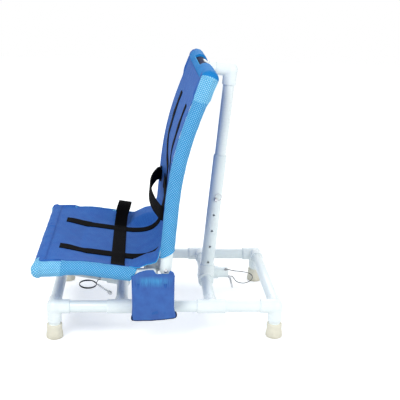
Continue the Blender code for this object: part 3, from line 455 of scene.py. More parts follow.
def drawn_noise(place, scales, detail=3.0, roughness=0.55):
    """Noise with its own scale along each axis."""
    mapped = node(place.id_data, "ShaderNodeMapping", [("Vector", place), ("Scale", scales)])
    return noise(mapped.outputs["Vector"], 1.0, detail, roughness)


def ramp(value, low, high, out_low=0.0, out_high=1.0):
    inputs = [("Value", value), ("From Min", low), ("From Max", high), ("To Min", out_low),
              ("To Max", out_high)]
    return node(value.id_data, "ShaderNodeMapRange", inputs).outputs["Result"]


def mix(share, first, second):
    """Mixes colours, each an output or a plain red, green and blue."""
    first, second = [(*colour, 1.0) if isinstance(colour, tuple) else colour for colour in (first, second)]
    inputs = [("Factor", share), (6, first), (7, second)]
    return node(share.id_data, "ShaderNodeMix", inputs, data_type="RGBA").outputs[2]


def arithmetic(operation, first, second=0.0):
    return node(first.id_data, "ShaderNodeMath", [(0, first), (1, second)], operation=operation).outputs[0]


def times(first, second):
    return arithmetic("MULTIPLY", first, second)


def bump(shader, height, strength, distance):
    inputs = [("Height", height), ("Strength", strength), ("Distance", distance)]
    feed(shader, "Normal", node(shader.id_data, "ShaderNodeBump", inputs).outputs["Normal"])


def object_place(shader):
    return node(shader.id_data, "ShaderNodeTexCoord").outputs["Object"]


def cloth_metres(shader):
    """A cloth's own place in metres, whole and as its two parts."""
    uv = node(shader.id_data, "ShaderNodeUVMap", uv_map="metres").outputs["UV"]
    parts = node(shader.id_data, "ShaderNodeSeparateXYZ", [("Vector", uv)])
    return uv, parts.outputs["X"], parts.outputs["Y"]


def wave(value, pitch):
    return arithmetic("SINE", times(value, 2 * math.pi / pitch))


def diamonds(u, v, pitch):
    """A field of dots in a diamond pattern, from -1 to 1."""
    return times(wave(u, pitch), wave(v, pitch))


# Materials

KNITS_PER_DOT = 4
CORD_PER_RIB = 2.2
POUCH_KNIT = 0.0025
SOILED_UP_TO = 0.03


def plastic(name, colour, darker, roughness):
    """Moulded or extruded plastic: slight shade changes, uneven gloss, a faint skin and fine scuffs."""
    made, shader = principled(name, colour, roughness, coat=0.15)
    place = object_place(shader)
    feed(shader, "Base Color", mix(ramp(noise(place, 9.0), 0.35, 0.75), colour, darker))
    scuff = drawn_noise(place, (40.0, 40.0, 900.0), 4.0, 0.7)
    feed(shader, "Roughness", ramp(scuff, 0.35, 0.75, roughness - 0.04, roughness + 0.12))
    bump(shader, noise(place, 420.0, 2.0), 0.12, 0.0004)
    return made


def mesh_cloth(name, thread, hole, pitch, variation, sheen=0.04):
    """Warp-knitted mesh: dots in a diamond pattern, fine knit ribs, uneven dye and a light sheen."""
    made, shader = principled(name, thread, 0.72, sheen=sheen, specular=0.2)
    uv, u, v = cloth_metres(shader)
    dots = ramp(diamonds(u, v, pitch), 0.10, 0.55)
    dyed = mix(ramp(noise(uv, 22.0, 4.0), 0.3, 0.7), thread, variation)
    feed(shader, "Base Color", mix(times(dots, 0.85), dyed, hole))
    knit = diamonds(u, v, pitch / KNITS_PER_DOT)
    bump(shader, arithmetic("SUBTRACT", times(knit, 0.25), dots), 0.55, 0.0006)
    return made


def woven(name, colour, lighter, pitch, roughness):
    """Flat webbing: cross ribs and lengthwise cords, with a little fading."""
    made, shader = principled(name, colour, roughness, specular=0.08)
    uv, u, v = cloth_metres(shader)
    weave = arithmetic("ADD", times(wave(v, pitch), 0.6), times(wave(u, pitch * CORD_PER_RIB), 0.4))
    fade = ramp(noise(uv, 35.0, 4.0), 0.35, 0.75, 0.5, 1.0)
    feed(shader, "Base Color", mix(times(ramp(weave, -1.0, 1.0), fade), colour, lighter))
    bump(shader, weave, 0.6, 0.0004)
    return made


def fine_cloth(name, colour, other, scale, sheen=0.05, specular=0.3):
    """Fine knitted cloth: grain, soft folds of shade and a light sheen."""
    made, shader = principled(name, colour, 0.7, sheen=sheen, specular=specular)
    place = object_place(shader)
    folds = drawn_noise(place, (scale, scale, scale), 4.0, 0.6)
    feed(shader, "Base Color", mix(ramp(folds, 0.35, 0.7), colour, other))
    bump(shader, arithmetic("ADD", times(folds, 3.0), noise(place, 1100.0, 2.0)), 0.4, 0.0008)
    return made


def gathered_cloth_with_highlight(name, colour, bright, other):
    """Fine pouch cloth with a painted highlight: brighter upright stripes over the puckered band under its
    top edge; v is the height in metres.
    """
    made, shader = principled(name, colour, 0.6, sheen=0.1)
    uv, u, v = cloth_metres(shader)
    upright = drawn_noise(uv, (95.0, 16.0, 1.0))
    pucker_and_highlight_band = times(times(ramp(v, 0.222, 0.244), ramp(v, 0.266, 0.250)),
                 times(ramp(u, 0.012, 0.050), ramp(u, 0.145, 0.090)))
    # Painted highlight: the bright colour is mixed in along upright stripes, only in the band under the top
    # edge.
    highlight_streaks = times(pucker_and_highlight_band, ramp(upright, 0.30, 0.66, 0.40, 1.0))
    dyed = mix(ramp(noise(uv, 30.0, 4.0), 0.3, 0.7), colour, other)
    feed(shader, "Base Color", mix(highlight_streaks, dyed, bright))
    knit = times(diamonds(u, v, POUCH_KNIT), 0.15)
    bump(shader, arithmetic("ADD", knit, times(upright, pucker_and_highlight_band)), 0.5, 0.0008)
    return made


def metal(name, colour, roughness):
    """Plain stainless steel with fine turning marks."""
    made, shader = principled(name, colour, roughness, metallic=1.0)
    marks = drawn_noise(object_place(shader), (300.0, 2600.0, 300.0))
    feed(shader, "Roughness", ramp(marks, 0.3, 0.7, roughness - 0.08, roughness + 0.12))
    bump(shader, marks, 0.15, 0.0002)
    return made


def rubber(name, colour, darker):
    """Rubber with a fine grain, soiled near the floor."""
    made, shader = principled(name, colour, 0.68)
    place = object_place(shader)
    height = node(shader.id_data, "ShaderNodeSeparateXYZ", [("Vector", place)]).outputs["Z"]
    soiled = times(ramp(height, 0.0, SOILED_UP_TO, 0.7, 0.0), ramp(noise(place, 60.0, 4.0), 0.3, 0.7))
    feed(shader, "Base Color", mix(soiled, colour, darker))
    bump(shader, noise(place, 700.0, 2.0), 0.25, 0.0004)
    return made


BLUE = (0.022, 0.090, 0.36)
PVC = plastic("white_pipe_plastic", (0.86, 0.925, 0.93), (0.81, 0.895, 0.905), 0.30)
MOULDED = plastic("white_moulded_plastic", (0.88, 0.935, 0.94), (0.83, 0.905, 0.915), 0.26)
PANEL = mesh_cloth("royal_blue_mesh", (0.012, 0.085, 0.40), (0.025, 0.16, 0.52), 0.009, (0.022, 0.130, 0.46))
SLEEVE = mesh_cloth("light_blue_mesh", (0.018, 0.25, 0.56), (0.30, 0.60, 0.84), 0.009, (0.035, 0.30, 0.62))
COLLAR = mesh_cloth("pale_blue_mesh", (0.050, 0.36, 0.68), (0.52, 0.80, 0.94), 0.008, (0.09, 0.42, 0.72))
EDGE = mesh_cloth("edge_blue_mesh", (0.004, 0.155, 0.50), (0.010, 0.26, 0.63), 0.009, (0.006, 0.21, 0.57), 0)
HEM = fine_cloth("cyan_hem", (0.015, 0.40, 0.78), (0.03, 0.33, 0.68), 300.0)
# Navy cloth for the pouch's loop, tab, ears and bottom hem. Round the top bar the same dark colour is painted
# shade, standing for the shaded inside of the back sleeve's open end.
NAVY_CLOTH_AND_SHADE = fine_cloth("navy_cloth_and_painted_shade", (0.004, 0.010, 0.045), (0.008, 0.018, 0.075), 200.0, 0.0, 0.05)
BAG = mesh_cloth("pouch_mesh", BLUE, (0.035, 0.15, 0.46), 0.004, (0.030, 0.125, 0.42), 0.1)
# The pouch front's third colour is its painted highlight.
GATHERED_WITH_HIGHLIGHT = gathered_cloth_with_highlight("pouch_front_cloth_painted_highlight", BLUE, (0.050, 0.31, 0.62), (0.030, 0.130, 0.44))
BAG_EDGE = fine_cloth("pouch_edge", (0.02, 0.16, 0.48), (0.03, 0.11, 0.40), 300.0)
WEBBING = woven("black_webbing", (0.0012, 0.0012, 0.0016), (0.0040, 0.0040, 0.0052), 0.0022, 0.92)
STEEL = metal("plain_steel", (0.58, 0.59, 0.61), 0.28)
RUBBER = rubber("cream_rubber", (0.80, 0.76, 0.63), (0.50, 0.46, 0.36))
WIRE = plastic("coated_wire", (0.030, 0.030, 0.034), (0.05, 0.05, 0.055), 0.35)


def settle(piece, body, material, slot, *nodes):
    """Moves a piece to the shared frame, gives it its material, attaches it to its body when that is one
    body's name (a piece between two bodies only keeps its place), and hides what it stands for.
    """
    piece.data.transform(Matrix.Translation(-ORIGIN))
    piece.data.materials.clear()
    piece.data.materials.append(material)
    piece.data.name = piece.name
    if isinstance(body, str):
        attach(piece, body)
    else:
        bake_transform(piece)
    if nodes:
        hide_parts(*nodes)
    return piece


def white(piece, body, material, name):
    """Settles a piece of white plastic in place of the node of its name."""
    piece.name = name + "_white"
    settle(piece, body, material, "pvc", name)


# Lanyards

EYELET_SUNK = 0.0018
EYELET_H = 0.005
FRONT_EYELET_OUT = 0.0874
REAR_EYELET_OUT = 0.083
STOP_CENTRE = STRUT_FOOT + Y * (SWIVEL_HALF_RUN + FIT_GAP + STOP_HALF_RUN)
COIL_CENTRE = Vector((0.105, -0.036, 0.1075))
COIL_WIDTH = 0.065
COIL_HEIGHT = 0.033
COIL_PITCH = 0.0042
COIL_TURNS = 2.75
COIL_STEPS = 48
LEAD_BEND = Vector((0.006, 0, 0.014))
FRONT_PIN_TIP = Vector((0.1430, -0.0475, 0.1080))
FRONT_PIN_END = Vector((0.1825, -0.0475, 0.0790))
REAR_PIN_HEAD = Vector((0.6615, 0.0285, 0.1110))
REAR_PIN_TIP = Vector((0.6745, 0.0285, 0.0625))
REAR_ROUTE = [Vector(place) for place in (
    (0.675, 0.0345, 0.1340), (0.7085, 0.0345, 0.1300), (0.7395, 0.0345, 0.1230), (0.7540, 0.0340, 0.1090),
    (0.7470, 0.0330, 0.0920), (0.7190, 0.0310, 0.0820), (0.6900, 0.0290, 0.0900))]


def eyelet_on(centre, way, radius, turn):
    """An eyelet's foot on a tube, turned up by an angle from the near side, its way out and its face."""
    normal = -Y * math.cos(turn) + Z * math.sin(turn)
    normal = (normal - way * normal.dot(way)).normalized()
    return centre + normal * (radius - EYELET_SUNK), normal, centre + normal * (radius + EYELET_H)


FRONT_EYELET = eyelet_on(LEG_FOOT + LEG_AXIS * FRONT_EYELET_OUT, LEG_AXIS, SLEEVE_R, math.radians(-20))
REAR_EYELET = eyelet_on(STOP_CENTRE + X * REAR_EYELET_OUT, X, PIPE_R, math.radians(49))


def coil_point(turn):
    angle = 2 * math.pi * turn
    return COIL_CENTRE + Vector((COIL_WIDTH / 2 * math.cos(angle), -COIL_PITCH * turn,
                                 -COIL_HEIGHT / 2 * math.sin(angle)))


def cord_curve(name, points):
    curve = bpy.data.curves.new(name, "CURVE")
    curve.dimensions = "3D"
    curve.bevel_depth = CORD_D / 2
    curve.bevel_resolution = 4
    curve.use_fill_caps = True
    spline = curve.splines.new("POLY")
    spline.points.add(len(points) - 1)
    for place, point in zip(spline.points, points):
        place.co = (*point, 1.0)
    return link(name, curve)


def pin_profile(shank):
    """A pin's outline from its tip to its head, which has a groove round it."""
    full = PIN_HEAD_R
    groove = full - 0.0008
    head = ((0.01, full - 0.001), (0.10, full), (0.30, full), (0.34, groove), (0.40, groove), (0.44, full),
            (0.72, full), (0.90, full * 0.86), (1.00, full * 0.55), (1.01, 0))
    return ([(0, PIN_R * 0.3), (0.0012, PIN_R * 0.85), (0.002, PIN_R), (shank, PIN_R)]
            + [(shank + PIN_HEAD_H * share, radius) for share, radius in head])


def front_lanyard():
    """One coated wire from the eyelet through its coil to the pin."""
    way = (FRONT_PIN_END - FRONT_PIN_TIP).normalized()
    normal, face = FRONT_EYELET[1:]
    start = face + normal * FIT_GAP
    coil_start = coil_point(0)
    lead = smooth_curve([start, start + normal * CORD_D, coil_start + LEAD_BEND,
                         coil_start + Z * (CORD_D + FIT_GAP), coil_start + Z * FIT_GAP], 0.75 * CORD_D)
    count = round(COIL_TURNS * COIL_STEPS)
    loops = [coil_point(turn) for turn in spread(0, COIL_TURNS, count)]
    end = FRONT_PIN_TIP - way * FIT_GAP
    dip = loops[-1].lerp(end, 0.45) + Z * 0.006
    tail = smooth_curve([loops[-1], dip, end - way * CORD_D * 1.5, end - way * CORD_D * 0.4, end], CORD_D)
    points = lead[:-1] + loops + tail[1:]
    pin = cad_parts["front_pin"]
    pin.data.materials.clear()
    pin.data.materials.append(STEEL)
    cord = settle(cord_curve("front_lanyard", points), "leg_strut_lower", WIRE, "coated_wire",
                  "front_lanyard_lead", "front_lanyard_coil")


def rear_lanyard():
    """A springy coated wire from the stub's eyelet to the spare pin beside the stub."""
    normal, face = REAR_EYELET[1:]
    start = face + normal * FIT_GAP
    way = (REAR_PIN_HEAD - REAR_PIN_TIP).normalized()
    side = Vector((way.z, 0, -way.x))
    shank = (REAR_PIN_HEAD - REAR_PIN_TIP).length - PIN_HEAD_H / 2
    pin = lathe("rear_pin_metal", REAR_PIN_TIP, way, pin_profile(shank))
    settle(pin, "base", STEEL, "steel", "rear_pin")
    middle = REAR_PIN_TIP + way * (shank + PIN_HEAD_H * 0.35)
    end = middle + side * (PIN_HEAD_R + FIT_GAP)
    points = smooth_curve([start, start + normal * CORD_D] + REAR_ROUTE + [end + side * CORD_D, end], CORD_D)
    cord = settle(cord_curve("rear_lanyard_wire", points), "base", WIRE, "coated_wire", "rear_lanyard")


front_lanyard()
rear_lanyard()


# Plastic pipe and fittings

RIM = 0.0022
FILLET = 0.005
VOXEL = 0.0022
PROBE = 0.0002
LARGEST_MOVE = 0.003
SMALLEST_SLOPE = 0.3
SETTLINGS = 4
COARSE_SEGMENTS = 24
CORE_WAY = Vector((0.61, 0.37, 0.70))
CORE_TURNS = (0.2, 0.6, 1.1, 1.57, 2.04, 2.54, 2.94)
TEE_CORE = 0.020
SWIVEL_CORE = 0.025
PIPE_SET = 0.020
PIPE_START = 0.030
RISER_START = 0.040
SADDLE_EDGE = 0.001
NIPPLE_SET = 0.004
LEG_END = 0.0103
SOCKET_SLACK = 0.0002
CAP_PROFILE = [(0, PIPE_R * 0.9), (0.001, PIPE_R), (0.006, PIPE_R * 0.93), (0.010, PIPE_R * 0.72),
               (0.0125, PIPE_R * 0.4), (0.013, 0)]
SOLE_PROFILE = [(0, 0.0275), (0.0008, 0.0290), (0.0030, 0.0305), (0.0085, 0.0305), (0.0098, 0.0300),
                (0.0110, 0.0303), (0.0125, 0.0301)]
FOOT_TOP_PROFILE = [(0.040, 0.0275), (0.0500, 0.0275), (0.0514, 0.0270), (0.0520, 0.0260), (0.0520, 0.0214)]
FLARE_FROM = 0.0125
FLARE_HEIGHT = 0.0215
FLARE_R = 0.0300
FLARE_DEPTH = 0.0026
GROOVE_DEPTH = 0.0005
GROOVES = 3
EYELET_WIRE = 0.0012
EYELET_RING = 0.0042
EYELET_STEM = [(0, 0.0055), (0.0055, 0.0055), (0.0062, 0.0048), (0.0063, 0.0)]


def arm(way, start, end, radius):
    return {"way": way.normalized(), "start": start, "end": end, "radius": radius}


def reach(way, end, radius=FIT_R):
    """An arm from the fitting's middle outwards."""
    return arm(way, 0.0, end, radius)


def through(way, half, radius=FIT_R):
    """An arm to both sides of the fitting's middle."""
    return arm(way, -half, half, radius)


def arm_distance(points, centre, each):
    """Signed distance to a round arm with rounded rims."""
    way = np.array(each["way"])
    offset = points - np.array(centre)
    along = offset @ way
    radial = np.linalg.norm(offset - along[:, None] * way, axis=1)
    middle = (each["start"] + each["end"]) / 2
    half = (each["end"] - each["start"]) / 2
    out = radial - (each["radius"] - RIM)
    past = np.abs(along - middle) - (half - RIM)
    inside = np.minimum(np.maximum(out, past), 0)
    return inside + np.hypot(np.maximum(out, 0), np.maximum(past, 0)) - RIM


def moulding_distance(points, centre, arms, core):
    """Signed distance to all the arms with filleted joins between them."""
    total = np.linalg.norm(points - np.array(centre), axis=1) - core
    for each in arms:
        other = arm_distance(points, centre, each)
        close = np.maximum(FILLET - np.abs(total - other), 0) / FILLET
        total = np.minimum(total, other) - close ** 2 * FILLET / 4
    return total


def moulding(centre, arms, core=BALL_R):
    """A moulded fitting: round arms with rounded rims, joined by fillets."""
    coarse = []
    for each in arms:
        side = [(0, each["radius"]), (each["end"] - each["start"], each["radius"])]
        coarse.append(lathe("arm", centre + each["way"] * each["start"], each["way"], side, COARSE_SEGMENTS))
    side = [(-core * math.cos(turn), core * math.sin(turn)) for turn in CORE_TURNS]
    coarse.append(lathe("core", centre, CORE_WAY, side, COARSE_SEGMENTS))
    body = with_modifier(joined("fitting", *coarse), "REMESH", mode="VOXEL", voxel_size=VOXEL)
    points = np.empty(len(body.data.vertices) * 3)
    body.data.vertices.foreach_get("co", points)
    points = points.reshape(-1, 3)
    for _ in range(SETTLINGS):
        here = moulding_distance(points, centre, arms, core)
        slope = np.stack([moulding_distance(points + shift, centre, arms, core)
                          - moulding_distance(points - shift, centre, arms, core)
                          for shift in PROBE * np.eye(3)], axis=1) / (2 * PROBE)
        size = np.maximum(np.linalg.norm(slope, axis=1), SMALLEST_SLOPE)
        points -= slope * (np.clip(here, -LARGEST_MOVE, LARGEST_MOVE) / size ** 2)[:, None]
    body.data.vertices.foreach_set("co", points.ravel())
    body.data.update()
    body.data.shade_smooth()
    return body


def on_rail(x, sign, height=RAIL_HEIGHT):
    return Vector((x, sign * RAIL_Y, height))


def pipe(start, end):
    return rod("pipe", [start, end], PIPE_R)


def base_plastic():
    """The base's elbows, rails, tees, risers and cross pipes."""
    for end, x, ahead in ENDS:
        for side, sign in SIDES:
            fitting = moulding(on_rail(x, sign), [reach(way, ELBOW_ARM) for way in (ahead, -Y * sign, -Z)])
            leg = pipe(on_rail(x, sign, RAIL_HEIGHT - PIPE_START), on_rail(x, sign, LEG_END))
            white(joined("corner", fitting, leg), "base", MOULDED, "corner_elbow_%s_%s" % (end, side))
    for side, sign in SIDES:
        inset = ELBOW_ARM - PIPE_SET
        white(pipe(on_rail(inset, sign), on_rail(BASE_LENGTH - inset, sign)), "base", PVC, "rail_" + side)
        for place, x in (("second", SECOND_TEE_X), ("mid", MID_TEE_X)):
            arms = [through(X, TEE_HALF_RUN), reach(-Y * sign, TEE_BRANCH)]
            fitting = moulding(on_rail(x, sign), arms, TEE_CORE)
            white(fitting, "base", MOULDED, "%s_tee_%s" % (place, side))
        centre = on_rail(RISER_X, sign)
        fitting = moulding(centre, [through(X, TEE_HALF_RUN), reach(Z, TEE_BRANCH)], TEE_CORE)
        riser = pipe(centre + Z * RISER_START, on_rail(RISER_X, sign, HINGE_HEIGHT - PIPE_START))
        white(joined("riser", fitting, riser), "base", MOULDED, "riser_" + side)
        fitting = moulding(on_rail(RISER_X, sign, HINGE_HEIGHT), [reach(-Z, ELBOW_ARM), reach(X, HINGE_ARM)])
        white(fitting, "base", MOULDED, "hinge_elbow_" + side)
    for place, x, arm_reach in (("front", 0, ELBOW_ARM), ("second", SECOND_TEE_X, TEE_BRANCH),
                                ("mid", MID_TEE_X, TEE_BRANCH), ("rear", BASE_LENGTH, ELBOW_ARM)):
        half = Y * (RAIL_Y - arm_reach + PIPE_SET)
        centre = Vector((x, 0, RAIL_HEIGHT))
        white(pipe(centre - half, centre + half), "base", PVC, "cross_tube_" + place)
    fitting = moulding(STOP_CENTRE, [through(Y, STOP_HALF_RUN), reach(X, TEE_BRANCH)], TEE_CORE)
    stub = tube("stub", STOP_CENTRE + X * PIPE_START, STOP_CENTRE + X * STUB_END, PIPE_R, SLEEVE_WALL)
    white(joined("stop", fitting, stub), "base", MOULDED, "stop_tee")


def feet():
    """Flared rubber feet with shallow ribs and a flat sole."""
    flare = []
    for share in spread(0, 1, 12)[1:]:
        groove = GROOVE_DEPTH * (0.5 - 0.5 * math.cos(share * 2 * math.pi * GROOVES))
        radius = FLARE_R - FLARE_DEPTH * smoothstep(0, 1, share) - groove
        flare.append((FLARE_FROM + FLARE_HEIGHT * share, radius))
    for end, x, ahead in ENDS:
        for side, sign in SIDES:
            foot = lathe("foot_%s_%s_rubber" % (end, side), on_rail(x, sign, 0), Z,
                         SOLE_PROFILE + flare + FOOT_TOP_PROFILE, 64)
            settle(foot, "base", RUBBER, "foot_rubber", "foot_%s_%s" % (end, side))


def frame_plastic(tag, axis, corner, corner_way, tail_way, bar_name):
    """A U-shaped frame: two bent side tubes with end caps, two elbows and the bar between them."""
    for side, sign in SIDES:
        out = Y * sign * SIDE_Y
        path = [point + out for point in axis]
        tail = path[0] if tag == "back" else path[-1]
        cap = lathe("cap", tail - tail_way * 0.001, tail_way, CAP_PROFILE)
        white(joined("side", rod("pipe", path, PIPE_R), cap), tag, PVC, "%s_side_tube_%s" % (tag, side))
        fitting = moulding(corner + out, [reach(corner_way, ELBOW_ARM), reach(-Y * sign, ELBOW_ARM)])
        white(fitting, tag, MOULDED, "%s_elbow_%s" % (tag, side))
    half = Y * (SIDE_Y - PIPE_START)
    white(pipe(corner - half, corner + half), tag, PVC, bar_name)


def saddle(bar, stub, floor):
    """A half round saddle with a short neck to its elbow."""
    inner = PIPE_R + SADDLE_GAP
    outer = inner + SADDLE_WALL
    half = SADDLE_WIDTH / 2 - SADDLE_EDGE
    ways = [-stub * math.cos(turn) + stub.cross(Y) * math.sin(turn)
            for turn in spread(-SADDLE_WRAP / 2, SADDLE_WRAP / 2, 24)]
    ring = [bar + way * outer for way in ways] + [bar + way * inner for way in ways[::-1]]
    body = skin_of("cradle", [[point + Y * y for point in ring] for y in (-half, half)])
    neck_end = SADDLE_ARM - outer
    outline = [(-0.002, FIT_R - 0.003), (0.001, FIT_R - 0.001), (0.003, FIT_R), (neck_end - 0.0015, FIT_R),
               (neck_end, FIT_R - 0.0015)]
    neck = lathe("neck", bar - stub * outer, -stub, outline)
    body.data.set_sharp_from_angle(angle=SHARP)
    return joined("saddle", body, neck, pipe(bar - stub * (SADDLE_ARM - NIPPLE_SET), floor))


def hole_row(first, step, count):
    """Distances of a sleeve's holes from the strut's foot, downwards from the first."""
    return [first - step * index for index in range(count)]


def strut_plastic(tag, foot, axis, stub, corner, elbow_arm, bar, sleeve_end, tube_start, holes):
    """A telescoping strut: a swivel tee and a drilled sleeve, and an inner tube with its elbow and saddle."""
    lower = tag + "_lower"
    upper = tag + "_upper"
    socket = foot + axis * (SWIVEL_BRANCH - SWIVEL_SOCKET)
    socket_r = SLEEVE_R + SOCKET_SLACK
    arms = [through(Y, SWIVEL_HALF_RUN, SWIVEL_R), reach(axis, SWIVEL_BRANCH, SWIVEL_R)]
    cutter = lathe("socket", socket, axis, [(0, socket_r), (0.05, socket_r)])
    white(bored(moulding(foot, arms, SWIVEL_CORE), cutter), lower, MOULDED, tag + "_swivel_tee")
    sleeve = tube("sleeve", socket, foot + axis * sleeve_end, SLEEVE_R, SLEEVE_WALL)
    drill = [(0, HOLE_R), (0.1, HOLE_R)]
    sleeve = bored(sleeve, *[lathe("hole", foot + axis * place - Y * 0.05, Y, drill, 24) for place in holes])
    white(sleeve, lower, PVC, tag + "_sleeve")
    elbow = moulding(corner, [reach(-axis, elbow_arm), reach(stub, ELBOW_ARM)])
    inner = pipe(foot + axis * tube_start, corner - axis * PIPE_START)
    white(joined("inner", elbow, inner), upper, MOULDED, tag + "_inner_tube")
    white(saddle(bar, stub, corner + stub * PIPE_START), upper, MOULDED, tag + "_saddle")


def grommet(name, place, body):
    """An eyelet: a short stem with a ring round its face."""
    foot, normal, face = place
    ring = wire_ring(face - normal * EYELET_WIRE / 2, normal, EYELET_RING, EYELET_WIRE, 24, 10)
    settle(joined(name, ring, lathe("stem", foot, normal, EYELET_STEM, 24)), body, STEEL, "steel")


def all_plastic():
    """All the plastic, with the feet and the eyelets."""
    base_plastic()
    feet()
    inset = ELBOW_ARM - SOCKET_DEPTH
    frame_plastic("seat", seat_axis(inset, TUBE_TAIL), SEAT_FRONT, X, X, "seat_front_tube")
    frame_plastic("back", back_axis(TUBE_TAIL, inset), BACK_TOP, -UPPER_WAY, -LOWER_WAY, "back_top_tube")
    strut_plastic("strut", STRUT_FOOT, STRUT_AXIS, STRUT_STUB, STRUT_ELBOW, ELBOW_ARM, BACK_TOP,
                  sleeve_end=0.500, tube_start=0.296, holes=hole_row(FIRST_HOLE, 0.0642, 5))
    strut_plastic("leg_strut", LEG_FOOT, LEG_AXIS, LEG_STUB, LEG_ELBOW, LEG_ELBOW_ARM, SEAT_FRONT,
                  sleeve_end=0.190, tube_start=0.045, holes=hole_row(0.165, 0.022, 4))
    grommet("front_eyelet_metal", FRONT_EYELET, "leg_strut_lower")
    grommet("rear_eyelet_metal", REAR_EYELET, "base")


all_plastic()


# Bolts and the strut pin

BOLT_HEAD = [(0, 0.0069), (0.0008, 0.0070), (0.0015, 0.0062), (0.0024, 0.0045), (0.0030, 0.0020), (0.0031, 0)]
NUT = [(0, 0.0056), (0.0008, 0.0070), (0.0052, 0.0070), (0.0059, 0.0056)]
NUT_IN = 0.006
BOLT_PAST_NUT = 0.002
PULL_RING_R = 0.013
PULL_RING_TURN = math.radians(50)


def hinge_bolts():
    """Domed bolt heads outside the side tubes, with nuts inside the hinge elbows."""
    inner = RAIL_Y - FIT_R - FIT_GAP
    outer = SIDE_Y + PIPE_R + FIT_GAP
    bolt_from = inner - NUT_IN - BOLT_PAST_NUT
    bolt = [(0, 0.0033), (0.0008, BOLT_R), (outer + 0.001 - bolt_from, BOLT_R)]
    for tag, pivot in (("seat", SEAT_PIVOT), ("back", BACK_PIVOT)):
        for side, sign in SIDES:
            out = Y * sign
            head = lathe("head", pivot + out * outer, out, BOLT_HEAD, 32)
            shank = lathe("shank", pivot + out * bolt_from, out, bolt, 24)
            nut = lathe("nut", pivot + out * (inner - NUT_IN), out, NUT, 6)
            nut.data.shade_flat()
            name = "%s_bolt_%s" % (tag, side)
            settle(joined(name + "_metal", head, shank, nut), "base", STEEL, "steel", name)


def strut_pin():
    """The pin in the back strut, with its pull ring."""
    tip = STRUT_FOOT + STRUT_AXIS * FIRST_HOLE - Y * (PIPE_R + FIT_GAP)
    shank = SLEEVE_R - PIPE_R
    body = lathe("body", tip, -Y, pin_profile(shank), 32)
    head = tip - Y * (shank + PIN_HEAD_H * 0.45)
    way = X * math.cos(PULL_RING_TURN) + Z * math.sin(PULL_RING_TURN)
    ring = wire_ring(head + way * PULL_RING_R, Y, PULL_RING_R, EYELET_WIRE, 40, 12)
    settle(joined("strut_pin_metal", body, ring), "strut_pin", STEEL, "steel", "strut_pin")


hinge_bolts()
strut_pin()


# Slings

SEAT_SAG = 0.050
SEAT_SAG_REACH = 0.235
BACK_SAG = 0.040
BACK_SAG_START = 0.35
BACK_SAG_UP_TO = 0.45
BACK_TAUT_FROM = 1.02
BACK_TAUT_SAG = 0.15


def sag_of_seat(distance):
    return SEAT_SAG * smoothstep(0, SEAT_SAG_REACH, distance)


def sag_of_back(distance):
    """The back sags most in its lower part, less above the bend, and not at the bar."""
    share = min(max(distance / (BACK_LOWER + BACK_UPPER), 0), 1)
    rise = BACK_SAG_START + (1 - BACK_SAG_START) * min(share * 4, 1)
    loose = smoothstep(BACK_TAUT_FROM, BACK_SAG_UP_TO, distance / BACK_LOWER)
    return BACK_SAG * rise * (BACK_TAUT_SAG + (1 - BACK_TAUT_SAG) * loose) * min((1 - share) * 6, 1)


# Each sling's tube, its way to the user, its bar, and the bar's cut-out by half width and angles
SEAT = {"tag": "seat", "axis": seat_axis(), "user": Z, "sag": sag_of_seat, "corner": 0.0,
        "bar": SEAT_FRONT, "bar_out": -X, "cut": (0.045, math.radians(13), math.radians(167))}
BACK = {"tag": "back", "axis": back_axis(), "user": -X, "sag": sag_of_back,
        "corner": path_length(back_axis()), "bar": BACK_TOP, "bar_out": UPPER_WAY,
        "cut": (0.130, math.radians(-16), math.radians(118))}
SEAT_START = 0.012
SEAT_TO = 0.300
BACK_FROM = 0.075
BACK_END = BACK["corner"] - 0.012
PANEL_LIFT = 0.0004
PANEL_Y = SIDE_Y - 0.006
PANEL_RIPPLE = 0.0010
SEAT_PULL = 0.09
BACK_PULL = 0.07
ARCH_FADE = 0.12
ARCH_FROM = 0.18
ARCH_FULL = 0.242
FLAP_Y = 0.336
FLAP_DROP = 0.005
FLAP_EDGE = 0.006
EDGE_PROFILE = [Vector((x, 0, z)) for x, z in (
    (0.265, 0.2869), (0.285, 0.2885), (0.305, 0.2985), (0.325, 0.3085), (0.345, 0.3125), (0.358, 0.318),
    (0.3675, 0.331), (0.3741, 0.3587))]
EDGE_LENGTH = path_length(EDGE_PROFILE)
SEAT_TO_BASE = ("seat", "base", Vector((0.235, 0, 0.25)), Vector((0.318, 0, 0.25)))
BASE_TO_BACK = ("base", "back", Vector((0.360, 0, 0.310)), Vector((0.400, 0, 0.420)))
HEM_R = 0.0013
HEM_SEGMENTS = 8
HEM_EDGE = 0.0004
SEAM_R = 0.0009
SIDE_SEAM_OUT = 0.0004
BAR_SEAM_OUT = 0.0006


def up_at(cloth, way):
    """The side of a sling towards the user, at right angles to a way along it."""
    up = Vector((-way.z, 0, way.x))
    return up if up.dot(cloth["user"]) > 0 else -up


def over_frame(cloth, distance, y, height):
    """A place at a height above the side tubes' axes, towards the user."""
    point, way = station(cloth["axis"], distance)
    return Vector((point.x, y, point.z)) + up_at(cloth, way) * height


def skin_radius(cloth, distance):
    """The sleeve's radius, which grows round the corner elbows."""
    past_elbow = smoothstep(0.060, 0.090, abs(distance - cloth["corner"]))
    return CORNER_SKIN_R + (SKIN_R - CORNER_SKIN_R) * past_elbow


def ripple(u, v, amount):
    """Small waves that never repeat in step."""
    waves = ((61, 23, 0), (97, -41, 1.3), (37, 83, 2.1))
    return amount * sum(math.sin(a * u + b * v + phase) for a, b, phase in waves) / len(waves)


